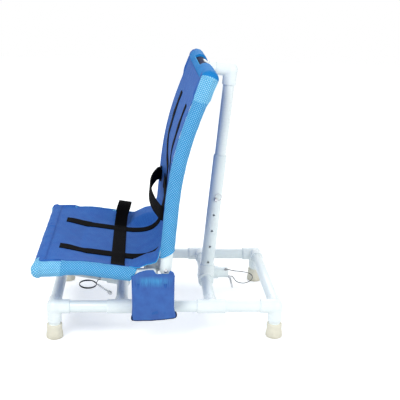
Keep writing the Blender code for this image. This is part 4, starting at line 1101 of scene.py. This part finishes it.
def panel_height(cloth, distance, y):
    """The panel's top above the side tubes' axes: it hangs from the sleeves and sags in between."""
    hang = cloth["sag"](distance) * max(0.0, 1 - (y / SIDE_Y) ** 2)
    ripple_share = smoothstep(0, 0.15, SIDE_Y - abs(y))
    height = SKIN_R + PANEL_LIFT - hang + ripple(distance, y, PANEL_RIPPLE) * ripple_share
    side = math.sqrt(max(skin_radius(cloth, distance) ** 2 - (SIDE_Y - abs(y)) ** 2, 0)) + PANEL_LIFT
    bar = math.sqrt(max(CORNER_SKIN_R ** 2 - (distance - cloth["corner"]) ** 2, 0)) + PANEL_LIFT
    return max(height, side, bar)


def cloth_place(p, y):
    """A place on the cloth: p runs from 0 to 1 on the seat, to 2 through the crease, and to 3 up the back."""
    if p <= 1:
        distance = SEAT_START + p * (SEAT_TO - SEAT_START)
        return over_frame(SEAT, distance, y, panel_height(SEAT, distance, y))
    if p >= 2:
        distance = BACK_FROM + (p - 2) * (BACK_END - BACK_FROM)
        return over_frame(BACK, distance, y, panel_height(BACK, distance, y))
    t = p - 1
    first = over_frame(SEAT, SEAT_TO, y, panel_height(SEAT, SEAT_TO, y))
    last = over_frame(BACK, BACK_FROM, y, panel_height(BACK, BACK_FROM, y))
    second = first + station(SEAT["axis"], SEAT_TO)[1] * SEAT_PULL
    third = last - station(BACK["axis"], BACK_FROM)[1] * BACK_PULL
    s = 1 - t
    middle = first * s ** 3 + second * 3 * t * s ** 2 + third * 3 * t ** 2 * s + last * t ** 3
    edge = station(EDGE_PROFILE, t * EDGE_LENGTH)[0]
    edge.y = y
    fade = smoothstep(0.0, ARCH_FADE, t) * smoothstep(0.0, ARCH_FADE, s)
    outer = edge * fade + edge.lerp(middle, 0.5) * (1 - fade)
    drop = FLAP_DROP * max(0.0, (abs(y) - PANEL_Y + FLAP_EDGE) / (FLAP_Y - PANEL_Y + FLAP_EDGE)) ** 2
    return middle.lerp(outer, smoothstep(ARCH_FROM, ARCH_FULL, abs(y))) - Z * drop


def panel_edge(p):
    """How far out the panel reaches: past the tubes only where it arches over the hinges."""
    if p <= 1 or p >= 2:
        return PANEL_Y
    return PANEL_Y + (FLAP_Y - PANEL_Y) * smoothstep(0.0, 0.3, p - 1) * smoothstep(0.0, 0.3, 2 - p)


def lengths_along(rows):
    """The distance of each row along the cloth's middle line."""
    middle = len(rows[0]) // 2
    lengths = [0.0]
    for before, after in zip(rows, rows[1:]):
        lengths.append(lengths[-1] + (after[middle] - before[middle]).length)
    return lengths


def panel(name, start, end, count, columns=72):
    """The panel's cloth between two places along the slings."""
    rows = []
    widths = []
    for p in spread(start, end, count):
        widths.append(spread(-panel_edge(p), panel_edge(p), columns))
        rows.append([cloth_place(p, y) for y in widths[-1]])
    return grid(name, rows, [[(y, along) for y in ys] for ys, along in zip(widths, lengths_along(rows))])


def hem_rod(name, points, step, radius):
    return rod(name, smooth_curve(points, step), radius, HEM_SEGMENTS, HEM_EDGE)


def hem_tube(name, points, body, material=HEM, radius=HEM_R):
    """A rolled hem or a seam along a line."""
    settle(hem_rod(name, points, 0.004, radius), body, material, "mesh_cloth")


def slings():
    """The royal blue panels of the seat and the back, with their seams and the hems of the arch."""
    seat = settle(panel("seat_cloth", 0.0, 1.5, 78), SEAT_TO_BASE, PANEL, "mesh_cloth", "seat_sling")
    back = settle(panel("back_cloth", 1.5, 3.0, 96), BASE_TO_BACK, PANEL, "mesh_cloth", "back_sling")
    for side, sign in SIDES:
        edge = [cloth_place(p, sign * panel_edge(p)) for p in spread(1, 2, 16)]
        hem_tube("seat_hem_" + side, edge[:9], SEAT_TO_BASE)
        hem_tube("back_hem_" + side, edge[8:], BASE_TO_BACK)
        for tag, start, out in (("seat", 0, Z), ("back", 2, -X)):
            seam = [cloth_place(start + p, sign * PANEL_Y) + out * SIDE_SEAM_OUT for p in spread(0, 1, 24)]
            hem_tube("%s_seam_%s" % (tag, side), seam, tag, PANEL, SEAM_R)
    for tag, p, out in (("seat", 0, Z), ("back", 3, -X)):
        seam = [cloth_place(p, y) + out * BAR_SEAM_OUT for y in spread(-PANEL_Y, PANEL_Y, 24)]
        hem_tube(tag + "_bar_seam", seam, tag, PANEL, SEAM_R)


slings()


# Sleeves

RING_STEPS = 44
SIDE_ROWS = 48
CORNER_ROWS = 8
BAR_STEPS = 60
BAR_PART_FROM = SIDE_ROWS + CORNER_ROWS + 3
CUT_STEP = 0.0002
TUCK = math.radians(-25)
UNDER = math.radians(300)
RING_ANGLES = spread(TUCK, UNDER, RING_STEPS)
SEAT_HINGE_CUT = ((-0.035, 0.023, 0.036), (-0.081, -0.050, -0.043))
BACK_HINGE_CUT = ((-0.031, 0.017, 0.057), (0.037, 0.067, 0.092))
CORNER_POINT = {"seat": 0.44, "back": 0.10}
CORNER_DROP = math.radians(6)
PUCKER_REACH = 0.12
SIDE_PUCKER = 0.0010
CORNER_PUCKER = 0.0008
SIDE_RIPPLE = 0.0007
BAR_RIPPLE = 0.0008
INNER_STEPS = {"left_sleeve": 18, "right_sleeve": 24}
COLLAR_ROW = {"seat": 38, "back": 42}
EDGE_ROW = 50
COLLAR_SLOT = 1
PANEL_SLOT = 2
EDGE_SLOT = 3
# Painted shade: a dark sheet round the top bar where the sleeve is cut out, in place of the shaded inside of
# the sleeve's end.
TOP_SHADE_HALF = 0.128
TOP_SHADE_R = PIPE_R + 0.0006


def hinge_distance(cloth, angle):
    """Where the sleeve ends beside the hinge, which is a slanted cut."""
    across = SKIN_R * math.sin(angle)
    if cloth is SEAT:
        return SEAT_LENGTH + float(np.interp(across, *SEAT_HINGE_CUT))
    return float(np.interp(-across, *BACK_HINGE_CUT))


def ring_point(centre, outward, up, radius, angle):
    return centre + (up * math.sin(angle) - outward * math.cos(angle)) * radius


def bar_up(cloth):
    return up_at(cloth, station(cloth["axis"], cloth["corner"])[1])


def side_row(cloth, sign, share):
    """Places and cloth metres round a side tube, from the hinge at 0 to the corner at 1."""
    marks = []
    for angle in RING_ANGLES:
        distance = hinge_distance(cloth, angle) * (1 - share) + cloth["corner"] * share
        point, way = station(cloth["axis"], distance)
        near_corner = smoothstep(PUCKER_REACH, 0, abs(distance - cloth["corner"]))
        pucker = SIDE_PUCKER * math.sin(angle * 9 + distance * 60) * near_corner
        rippled = ripple(distance * 2, angle * 0.05 + sign, SIDE_RIPPLE)
        radius = skin_radius(cloth, distance) + rippled + pucker
        place = ring_point(point + Y * sign * SIDE_Y, Y * sign, up_at(cloth, way), radius, angle)
        marks.append((place, (angle * SKIN_R, -sign * distance)))
    return marks


def corner_row(cloth, sign, share):
    """Places and cloth metres round a corner elbow, drawn out to a blunt point."""
    theta = math.pi / 2 * share
    outward = Y * sign * math.cos(theta) + cloth["bar_out"] * math.sin(theta)
    up = bar_up(cloth)
    marks = []
    for angle in RING_ANGLES:
        outside = max(0.0, -math.cos(angle - CORNER_DROP))
        point_out = 1 + CORNER_POINT[cloth["tag"]] * math.sin(2 * theta) ** 2 * outside
        radius = CORNER_SKIN_R * point_out + CORNER_PUCKER * math.sin(angle * 11 + theta * 7)
        place = ring_point(cloth["bar"] + Y * sign * SIDE_Y, outward, up, radius, angle)
        marks.append((place, (angle * CORNER_SKIN_R, sign * (0.70 + 0.03 * theta))))
    return marks


def bar_row(cloth, y):
    """Places and cloth metres round the bar, only between the cut's angles where the cut-out is."""
    half, low, high = cloth["cut"]
    up = bar_up(cloth)
    marks = []
    for angle in spread(low, high, RING_STEPS) if abs(y) < half else RING_ANGLES:
        radius = CORNER_SKIN_R + ripple(y * 2, angle * 0.06, BAR_RIPPLE)
        place = ring_point(cloth["bar"] + Y * y, cloth["bar_out"], up, radius, angle)
        marks.append((place, (angle * CORNER_SKIN_R, y)))
    return marks


def sleeve_rows(cloth):
    """The U-shaped sleeve from the left hinge round the bar to the right one, as places and cloth metres."""
    half = cloth["cut"][0]
    ys = spread(-SIDE_Y, SIDE_Y, BAR_STEPS)[1:-1]
    ys += [side * (half + shift) for side in (-1, 1) for shift in (-CUT_STEP, CUT_STEP)]
    along_side = spread(0, 1, SIDE_ROWS)
    round_corner = spread(0, 1, CORNER_ROWS)[1:]
    rows = [side_row(cloth, -1, share) for share in along_side]
    rows += [corner_row(cloth, -1, share) for share in round_corner]
    rows += [bar_row(cloth, y) for y in sorted(ys)]
    rows += [corner_row(cloth, 1, share) for share in reversed(round_corner)]
    rows += [side_row(cloth, 1, share) for share in reversed(along_side)]
    return apart(rows)


def colour_collar(piece, part, tag):
    """Gives the sleeve's corner end its collar, edge blue at the back's corners, and panel blue inside."""
    for other in (COLLAR, PANEL, EDGE):
        piece.data.materials.append(other)
    last = len(piece.data.polygons) // RING_STEPS - 1
    for polygon in piece.data.polygons:
        row, step = divmod(polygon.index, RING_STEPS)
        from_hinge = row if part == "left_sleeve" else last - row
        if from_hinge >= COLLAR_ROW[tag]:
            outer = EDGE_SLOT if tag == "back" and from_hinge >= EDGE_ROW else COLLAR_SLOT
            polygon.material_index = PANEL_SLOT if step < INNER_STEPS[part] else outer


def sleeve(cloth, bar_material):
    """The sleeve in three parts, with the hems at the hinges and round the cut-out."""
    tag = cloth["tag"]
    half, low, high = cloth["cut"]
    rows, uvs = sleeve_rows(cloth)
    last = len(rows) - 1
    parts = (("left_sleeve", 0, BAR_PART_FROM, tag + "_side_tube_left_white"),
             ("bar_sleeve", BAR_PART_FROM, last - BAR_PART_FROM, tag + "_elbow_left_white"),
             ("right_sleeve", last - BAR_PART_FROM, last, tag + "_side_tube_right_white"))
    for part, first, final, rest in parts:
        piece = grid("%s_%s" % (tag, part), rows[first:final + 1], uvs[first:final + 1])
        on_bar = part == "bar_sleeve"
        settle(piece, tag, bar_material if on_bar else SLEEVE, "mesh_cloth", tag + "_sling")
        if not on_bar:
            colour_collar(piece, part, tag)
    for side, row in (("left", rows[0]), ("right", rows[-1])):
        hem_tube("%s_sleeve_hem_%s" % (tag, side), row[::2], tag)
    for place, angle in (("low", low), ("high", high)):
        line = [ring_point(cloth["bar"] + Y * y, cloth["bar_out"], bar_up(cloth), CORNER_SKIN_R, angle)
                for y in spread(-half, half, 12)]
        hem_tube("%s_cutout_hem_%s" % (tag, place), line, tag)


sleeve(SEAT, PANEL)
sleeve(BACK, EDGE)
# Painted shade: the top bar inside the sleeve's cut-out is covered by a dark navy sheet, so the opening shows
# shade instead of white pipe.
top_shade_rings = [circle(BACK_TOP + Y * y, Y, TOP_SHADE_R, 48) for y in spread(-TOP_SHADE_HALF, TOP_SHADE_HALF, 16)]
settle(skin_of("top_bar_painted_shade", top_shade_rings), "back", NAVY_CLOTH_AND_SHADE, "mesh_cloth")


# Webbing

WEB = 0.0018
BELT_LIFT = 0.0016
FREE_HEIGHT = 0.05
RESTING_HEIGHT = 0.02
STRAP_LIFT = 0.0022
CLIMB_FROM = 0.010
CLIMB_TO = 0.003
BELT_STEP = 0.006
WEB_LIFT = 0.0006 + WEB / 2
PROBE_ALONG = 0.01
PROBE_ACROSS = 0.003
STRAP_HALF = 0.025
STRAP_Y = 0.150
LAP_BELT_AT = 0.260
CHEST_BELT_AT = 0.188
SEAMED_HALF = 0.26
SEAMED_HEIGHT = 0.009
SEAMED_DROP = 0.002
SEAMED_SHIFT = 0.014
SEAMED_INSET = 0.004
ACROSS = spread(-STRAP_HALF, STRAP_HALF, 8)
LOOP_FROM = 0.190
LOOP_LOW = 0.03
LOOP_HIGH = 0.10
LOOP_LEAN = 0.012
LOOP_SPREAD = 0.12
LOOP_HEIGHT = 0.080
LOOP_MIDDLE = 0.275
LOOP_HALF_WIDTH = 0.085
LOOP_SHAPE = ((-0.70, 0.34), (-0.52, 0.70), (-0.30, 0.92), (0.00, 1.00), (0.22, 0.90), (0.27, 0.56))
BOW_HEIGHT = 0.070
BOW_LOW = BOW_HEIGHT * 0.42
BOW_HALF = 0.282
BOW_POWER = 2.2
BOW_SHARES = (-0.94, -0.8, -0.6, -0.3, 0.0, 0.3, 0.6, 0.8, 0.94)
BELT_FROM = 0.284
BELT_END = 0.302
UNDER_LIFT = 0.016
UNDER_SHARE = 0.93
UNDER_WIDTH = 0.985
UNDER_SHIFT = 0.003
UNDER_INSET = 0.002


def facing(p, y):
    """The cloth's direction towards the user at a place."""
    along = cloth_place(p + PROBE_ALONG, y) - cloth_place(p - PROBE_ALONG, y)
    across = cloth_place(p, y + PROBE_ACROSS) - cloth_place(p, y - PROBE_ACROSS)
    normal = along.cross(across).normalized()
    return normal if normal.dot(Vector((-0.5, 0, 1))) > 0 else -normal


def web(name, rows, body, tag, held, *nodes):
    """A strip of webbing from rows of places across it, on the cloth of the seat or the back."""
    lengths = lengths_along(rows)
    uvs = [[(across, along) for across in ACROSS] for along in lengths]
    strip = settle(shell(name, rows, WEB, uvs), body, WEBBING, "webbing", *nodes)


def long_strap(tag, side, y, start, end, body, steps=60):
    """A strap that lies lengthwise on the cloth."""
    rows = [[cloth_place(p, y + across) + facing(p, y + across) * WEB_LIFT for across in ACROSS]
            for p in spread(start, end, steps)]
    web("%s_strap_%s_web" % (tag, side), rows, body, tag, "laid", "%s_strap_%s" % (tag, side))


def belt(name, cloth, place, line, *nodes):
    """A belt across the sling from (y, height) points, where a height of None lies on the cloth."""
    marks = []
    for y, height in line:
        if height is None:
            over_strap = smoothstep(STRAP_HALF + CLIMB_FROM, STRAP_HALF - CLIMB_TO, abs(abs(y) - STRAP_Y))
            height = panel_height(cloth, place, y) + BELT_LIFT + STRAP_LIFT * over_strap
        marks.append(Vector((y, height, 0)))
    rows = []
    for mark in smooth_curve(marks, BELT_STEP):
        rise = smoothstep(LOOP_LOW, LOOP_HIGH, mark.y) if cloth is SEAT else 0.0
        resting = smoothstep(FREE_HEIGHT, RESTING_HEIGHT, mark.y)
        row = []
        for across in ACROSS:
            distance = place + LOOP_LEAN * rise + across * (1 + LOOP_SPREAD * rise)
            shift = panel_height(cloth, distance, mark.x) - panel_height(cloth, place, mark.x)
            row.append(over_frame(cloth, distance, mark.x, mark.y + shift * resting))
        rows.append(row)
    web(name, rows, cloth["tag"], cloth["tag"], "draped", *nodes)


def laid(start, end, steps):
    """A stretch of a belt's line that lies on the cloth."""
    return [(y, None) for y in spread(start, end, steps)]


def chest_belt(name, place, end, line, *nodes):
    """A belt over the back whose ends lie on the sleeves."""
    belt(name, BACK, place, laid(-end, -BELT_FROM, 1) + line + laid(BELT_FROM, end, 1), *nodes)


def all_webbing():
    """The straps, the lap belt with its loop, and the three layers of the chest belt."""
    for side, sign in SIDES:
        long_strap("seat", side, sign * STRAP_Y, 0.12, 1.5, SEAT_TO_BASE)
        long_strap("back", side, sign * STRAP_Y, 1.5, 2.80, BASE_TO_BACK)
    loop = [(LOOP_MIDDLE + LOOP_HALF_WIDTH * across, LOOP_HEIGHT * share) for across, share in LOOP_SHAPE]
    line = laid(-BELT_END, LOOP_FROM, 24) + loop + [(BELT_END, None)]
    belt("lap_belt_web", SEAT, LAP_BELT_AT, line, "lap_belt")
    bow = [(BOW_HALF * share, BOW_LOW + (BOW_HEIGHT - BOW_LOW) * (1 - abs(share) ** BOW_POWER))
           for share in BOW_SHARES]
    under = [(y * UNDER_WIDTH, UNDER_LIFT + (height - UNDER_LIFT) * UNDER_SHARE) for y, height in bow]
    seamed = [(SEAMED_HALF * share, SEAMED_HEIGHT - SEAMED_DROP * share ** 2) for share in spread(-1, 1, 16)]
    chest_belt("chest_belt_web", CHEST_BELT_AT, BELT_END, bow, "chest_belt")
    chest_belt("chest_belt_under", CHEST_BELT_AT - UNDER_SHIFT, BELT_END - UNDER_INSET, under)
    chest_belt("chest_belt_seamed", CHEST_BELT_AT - SEAMED_SHIFT, BELT_END - SEAMED_INSET, seamed)


all_webbing()


# Pouch

POUCH_LEFT = SEAT_PIVOT.x - 0.069
POUCH_WIDTH = 0.150
POUCH_BACK = -(RAIL_Y + FIT_R + 0.0010)
POUCH_FRONT = -0.3462
POUCH_BOTTOM = 0.098
POUCH_MOUTH = 0.236
POUCH_WALL = 0.0014
POUCH_INSET = 0.0016
POUCH_SLOPE = 0.010
POUCH_TOP = ((0.000, 0.026, 0.051, 0.076, 0.084, 0.128, 0.135, 0.144, 0.150),
             (0.262, 0.279, 0.287, 0.287, 0.273, 0.273, 0.285, 0.280, 0.262))
POUCH_LIFT = 0.002
RING_COUNT = 160
GATHERS = 23
FRONT_LEVELS = 48
FRONT_STEPS = 120
ELASTIC_HEIGHT = 0.238
ELASTIC_REACH = 0.016
PUCKER_STEPS = 6.3
EAR_PROFILE = [(0, 0.001), (0.003, 0.0045), (0.012, 0.0062), (0.026, 0.0062), (0.035, 0.005), (0.038, 0.001)]
HANG_HEIGHT = 0.185
HANG_HALF = 0.010
HANG_PROFILE = ((0.0005, -1), (0.0026, -0.95), (0.0029, 0), (0.0026, 0.95), (0.0005, 1))


def pouch_ring(share, inset=0.0):
    """A rounded box section of the pouch at a share of its height, pinched below and gathered above."""
    middle_x = POUCH_LEFT + POUCH_WIDTH / 2
    middle_y = (POUCH_BACK + POUCH_FRONT) / 2
    belly = math.sin(math.pi * min(share * 0.9 + 0.12, 1.0))
    half_x = POUCH_WIDTH / 2 * (0.985 - 0.035 * math.sin(math.pi * share)) - inset
    half_y = (POUCH_BACK - POUCH_FRONT) / 2 * (0.30 + 0.70 * smoothstep(0.0, 0.22, share)) - inset
    z = POUCH_BOTTOM + (POUCH_MOUTH - POUCH_BOTTOM) * share
    gather = 0.0016 * smoothstep(0.62, 0.95, share) + 0.0009 * smoothstep(0.3, 0.0, share)
    ring = []
    for turn in turns(RING_COUNT):
        cosine = math.cos(turn)
        sine = math.sin(turn)
        x = half_x * math.copysign(abs(cosine) ** 0.32, cosine)
        y = half_y * math.copysign(abs(sine) ** 0.45, sine)
        front = max(0.0, -sine)
        y -= 0.0050 * belly * front * (1 - (x / half_x) ** 2) if inset == 0 else 0.004 * belly * front
        fold = gather * math.cos(turn * GATHERS) + 0.0008 * math.sin(x * 130 + share * 9)
        sag = 0.004 * math.sin(math.pi * (x / half_x + 1) / 2) * (1 - share)
        ring.append(Vector((middle_x + x, middle_y + y - fold * front, z - sag)))
    return ring


def pouch_body():
    """The pouch's outside and inside in one skin, open at the mouth."""
    shares = [0.0, 0.01, 0.03, 0.06, 0.10] + spread(0.15, 1, 22)
    rings = [pouch_ring(share) for share in shares]
    rings += [pouch_ring(share, POUCH_INSET) for share in shares[:2:-1]]
    uvs = [(step * 0.0024, level * 0.006) for level in range(len(rings)) for step in range(RING_COUNT)]
    settle(skin_of("pouch_body", rings, uvs=uvs), "base", BAG, "bag_cloth", "pouch")


def front_place(index, level):
    """A place on the pouch's front and its flat place in metres."""
    share = level / FRONT_LEVELS
    place = index / FRONT_STEPS
    x = POUCH_WIDTH * place
    low = POUCH_BOTTOM + POUCH_LIFT
    z = low + (float(np.interp(x, *POUCH_TOP)) - low) * share
    across = 1 - (2 * place - 1) ** 2
    belly = 0.0075 * math.sin(math.pi * min(share / 0.80, 1.0)) * across ** 0.6
    near_elastic = math.exp(-((z - ELASTIC_HEIGHT) / ELASTIC_REACH) ** 2)
    upright = math.cos(index * 2 * math.pi / PUCKER_STEPS + 0.9 * math.sin(index * 0.37))
    fold = 0.0013 * near_elastic * upright + ripple(x * 1.6, z * 0.7, 0.0012) * across
    flare = 0.0030 * smoothstep(0.84, 1.0, share)
    widen = 0.0070 * place * smoothstep(0.30, 0.0, share) + 0.0060 * (1 - place) * (1 - share)
    z += (POUCH_SLOPE * (place - 0.35) - 0.0035 * math.sin(math.pi * place)) * smoothstep(0.45, 0.0, share)
    seam = 0.0030 * smoothstep(0.05, 0.0, min(place, 1 - place))
    return Vector((POUCH_LEFT + x + widen, POUCH_FRONT + 0.0012 - belly - fold - flare + seam, z)), (x, z)


def pouch_front():
    """The front of the pouch from its bottom seam to its top edge, puckered by the elastic below the top."""
    rows, uvs = apart([[front_place(index, level) for index in range(FRONT_STEPS + 1)]
                       for level in range(FRONT_LEVELS + 1)])
    settle(shell("pouch_front", rows, POUCH_WALL, uvs), "base", GATHERED_WITH_HIGHLIGHT, "bag_cloth")
    for name, row, radius, material in (("pouch_top_hem", rows[-1], 0.0015, BAG_EDGE),
                                        ("pouch_bottom_hem", rows[0], 0.0018, NAVY_CLOTH_AND_SHADE)):
        settle(hem_rod(name, row[::2], 0.003, radius), "base", material, "bag_cloth")


def pouch_ears():
    """The dark folded corners of the bottom seam, which stick out past the front."""
    for side, x, rise in (("left", 0.0055, 0.000), ("right", POUCH_WIDTH + 0.006, 0.012)):
        centre = Vector((POUCH_LEFT + x, (POUCH_FRONT + POUCH_BACK) / 2, POUCH_BOTTOM + rise))
        ear = lathe("pouch_ear_" + side, centre - Y * 0.0215, Y, EAR_PROFILE, 20)
        settle(ear, "base", NAVY_CLOTH_AND_SHADE, "bag_cloth")


def pouch_hanger():
    """The loop round the left riser that carries the pouch, and its tab."""
    riser = Vector((RISER_X, -RAIL_Y, HANG_HEIGHT))
    rings = [circle(riser + Z * HANG_HALF * share, Z, PIPE_R + swell, 40) for swell, share in HANG_PROFILE]
    settle(skin_of("pouch_loop", rings, True), "base", NAVY_CLOTH_AND_SHADE, "bag_cloth")
    rows = [[Vector((RISER_X - HANG_HALF, y, HANG_HEIGHT + z)) for z in spread(-HANG_HALF, HANG_HALF, 4)]
            for y in (-RAIL_Y - PIPE_R - 0.001, POUCH_BACK + 0.001)]
    tab = shell("pouch_tab", rows, 0.003, [[(0.0, 0.0)] * len(rows[0])] * len(rows))
    settle(tab, "base", NAVY_CLOTH_AND_SHADE, "bag_cloth")


pouch_body()
pouch_front()
pouch_ears()
pouch_hanger()


# Floor, world and lamps

FLOOR_HALF = 8
FLOOR_Z = -0.0004
FLOOR_GLOW = 0.42
SKY_STRENGTH = 0.68
SKY_COLOUR = (0.95, 0.99, 1.0)
WHITE = (1.0, 1.0, 1.0)


def ray_share(tree):
    """1 for rays that the camera sends, or that come off gloss or through glass, and 0 for the rest."""
    path = node(tree, "ShaderNodeLightPath")
    first = arithmetic("MAXIMUM", path.outputs["Is Camera Ray"], path.outputs["Is Glossy Ray"])
    return arithmetic("MAXIMUM", first, path.outputs["Is Transmission Ray"])


def stage():
    """A pale floor and a plain bright world, both white to the camera."""
    corners = [(x * FLOOR_HALF, y * FLOOR_HALF, FLOOR_Z) for x, y in ((-1, -1), (1, -1), (1, 1), (-1, 1))]
    floor = new_mesh("floor", corners, [(0, 1, 2, 3)])
    made, shader = principled("pale_floor", (0.85, 0.86, 0.87), 0.9)
    feed(shader, "Emission Color", (*WHITE, 1.0))
    feed(shader, "Emission Strength", times(ray_share(shader.id_data), FLOOR_GLOW))
    floor.data.materials.append(made)
    world = bpy.data.worlds.new("studio")
    bpy.context.scene.world = world
    world.use_nodes = True
    tree = world.node_tree
    tree.nodes.clear()
    strength = ramp(ray_share(tree), 0.0, 1.0, SKY_STRENGTH, 1.0)
    colour = mix(ray_share(tree), SKY_COLOUR, WHITE)
    sky = node(tree, "ShaderNodeBackground", [("Color", colour), ("Strength", strength)])
    node(tree, "ShaderNodeOutputWorld", [("Surface", sky.outputs["Background"])])


def lamp(name, place, target, size, power):
    data = bpy.data.lights.new(name, "AREA")
    data.shape = "DISK"
    data.size = size
    data.energy = power
    made = link(name, data)
    made.location = place
    made.rotation_euler = (Vector(target) - Vector(place)).to_track_quat("-Z", "Y").to_euler()


stage()
lamp("key", (-1.6, -2.4, 2.9), (0, 0, 0.4), 1.6, 57)
lamp("fill", (2.6, -1.8, 1.8), (0, 0, 0.4), 2.2, 26)
lamp("rear", (0.6, 2.6, 2.4), (0, 0, 0.5), 2.0, 26)

bpy.context.scene.view_settings.view_transform = "Standard"
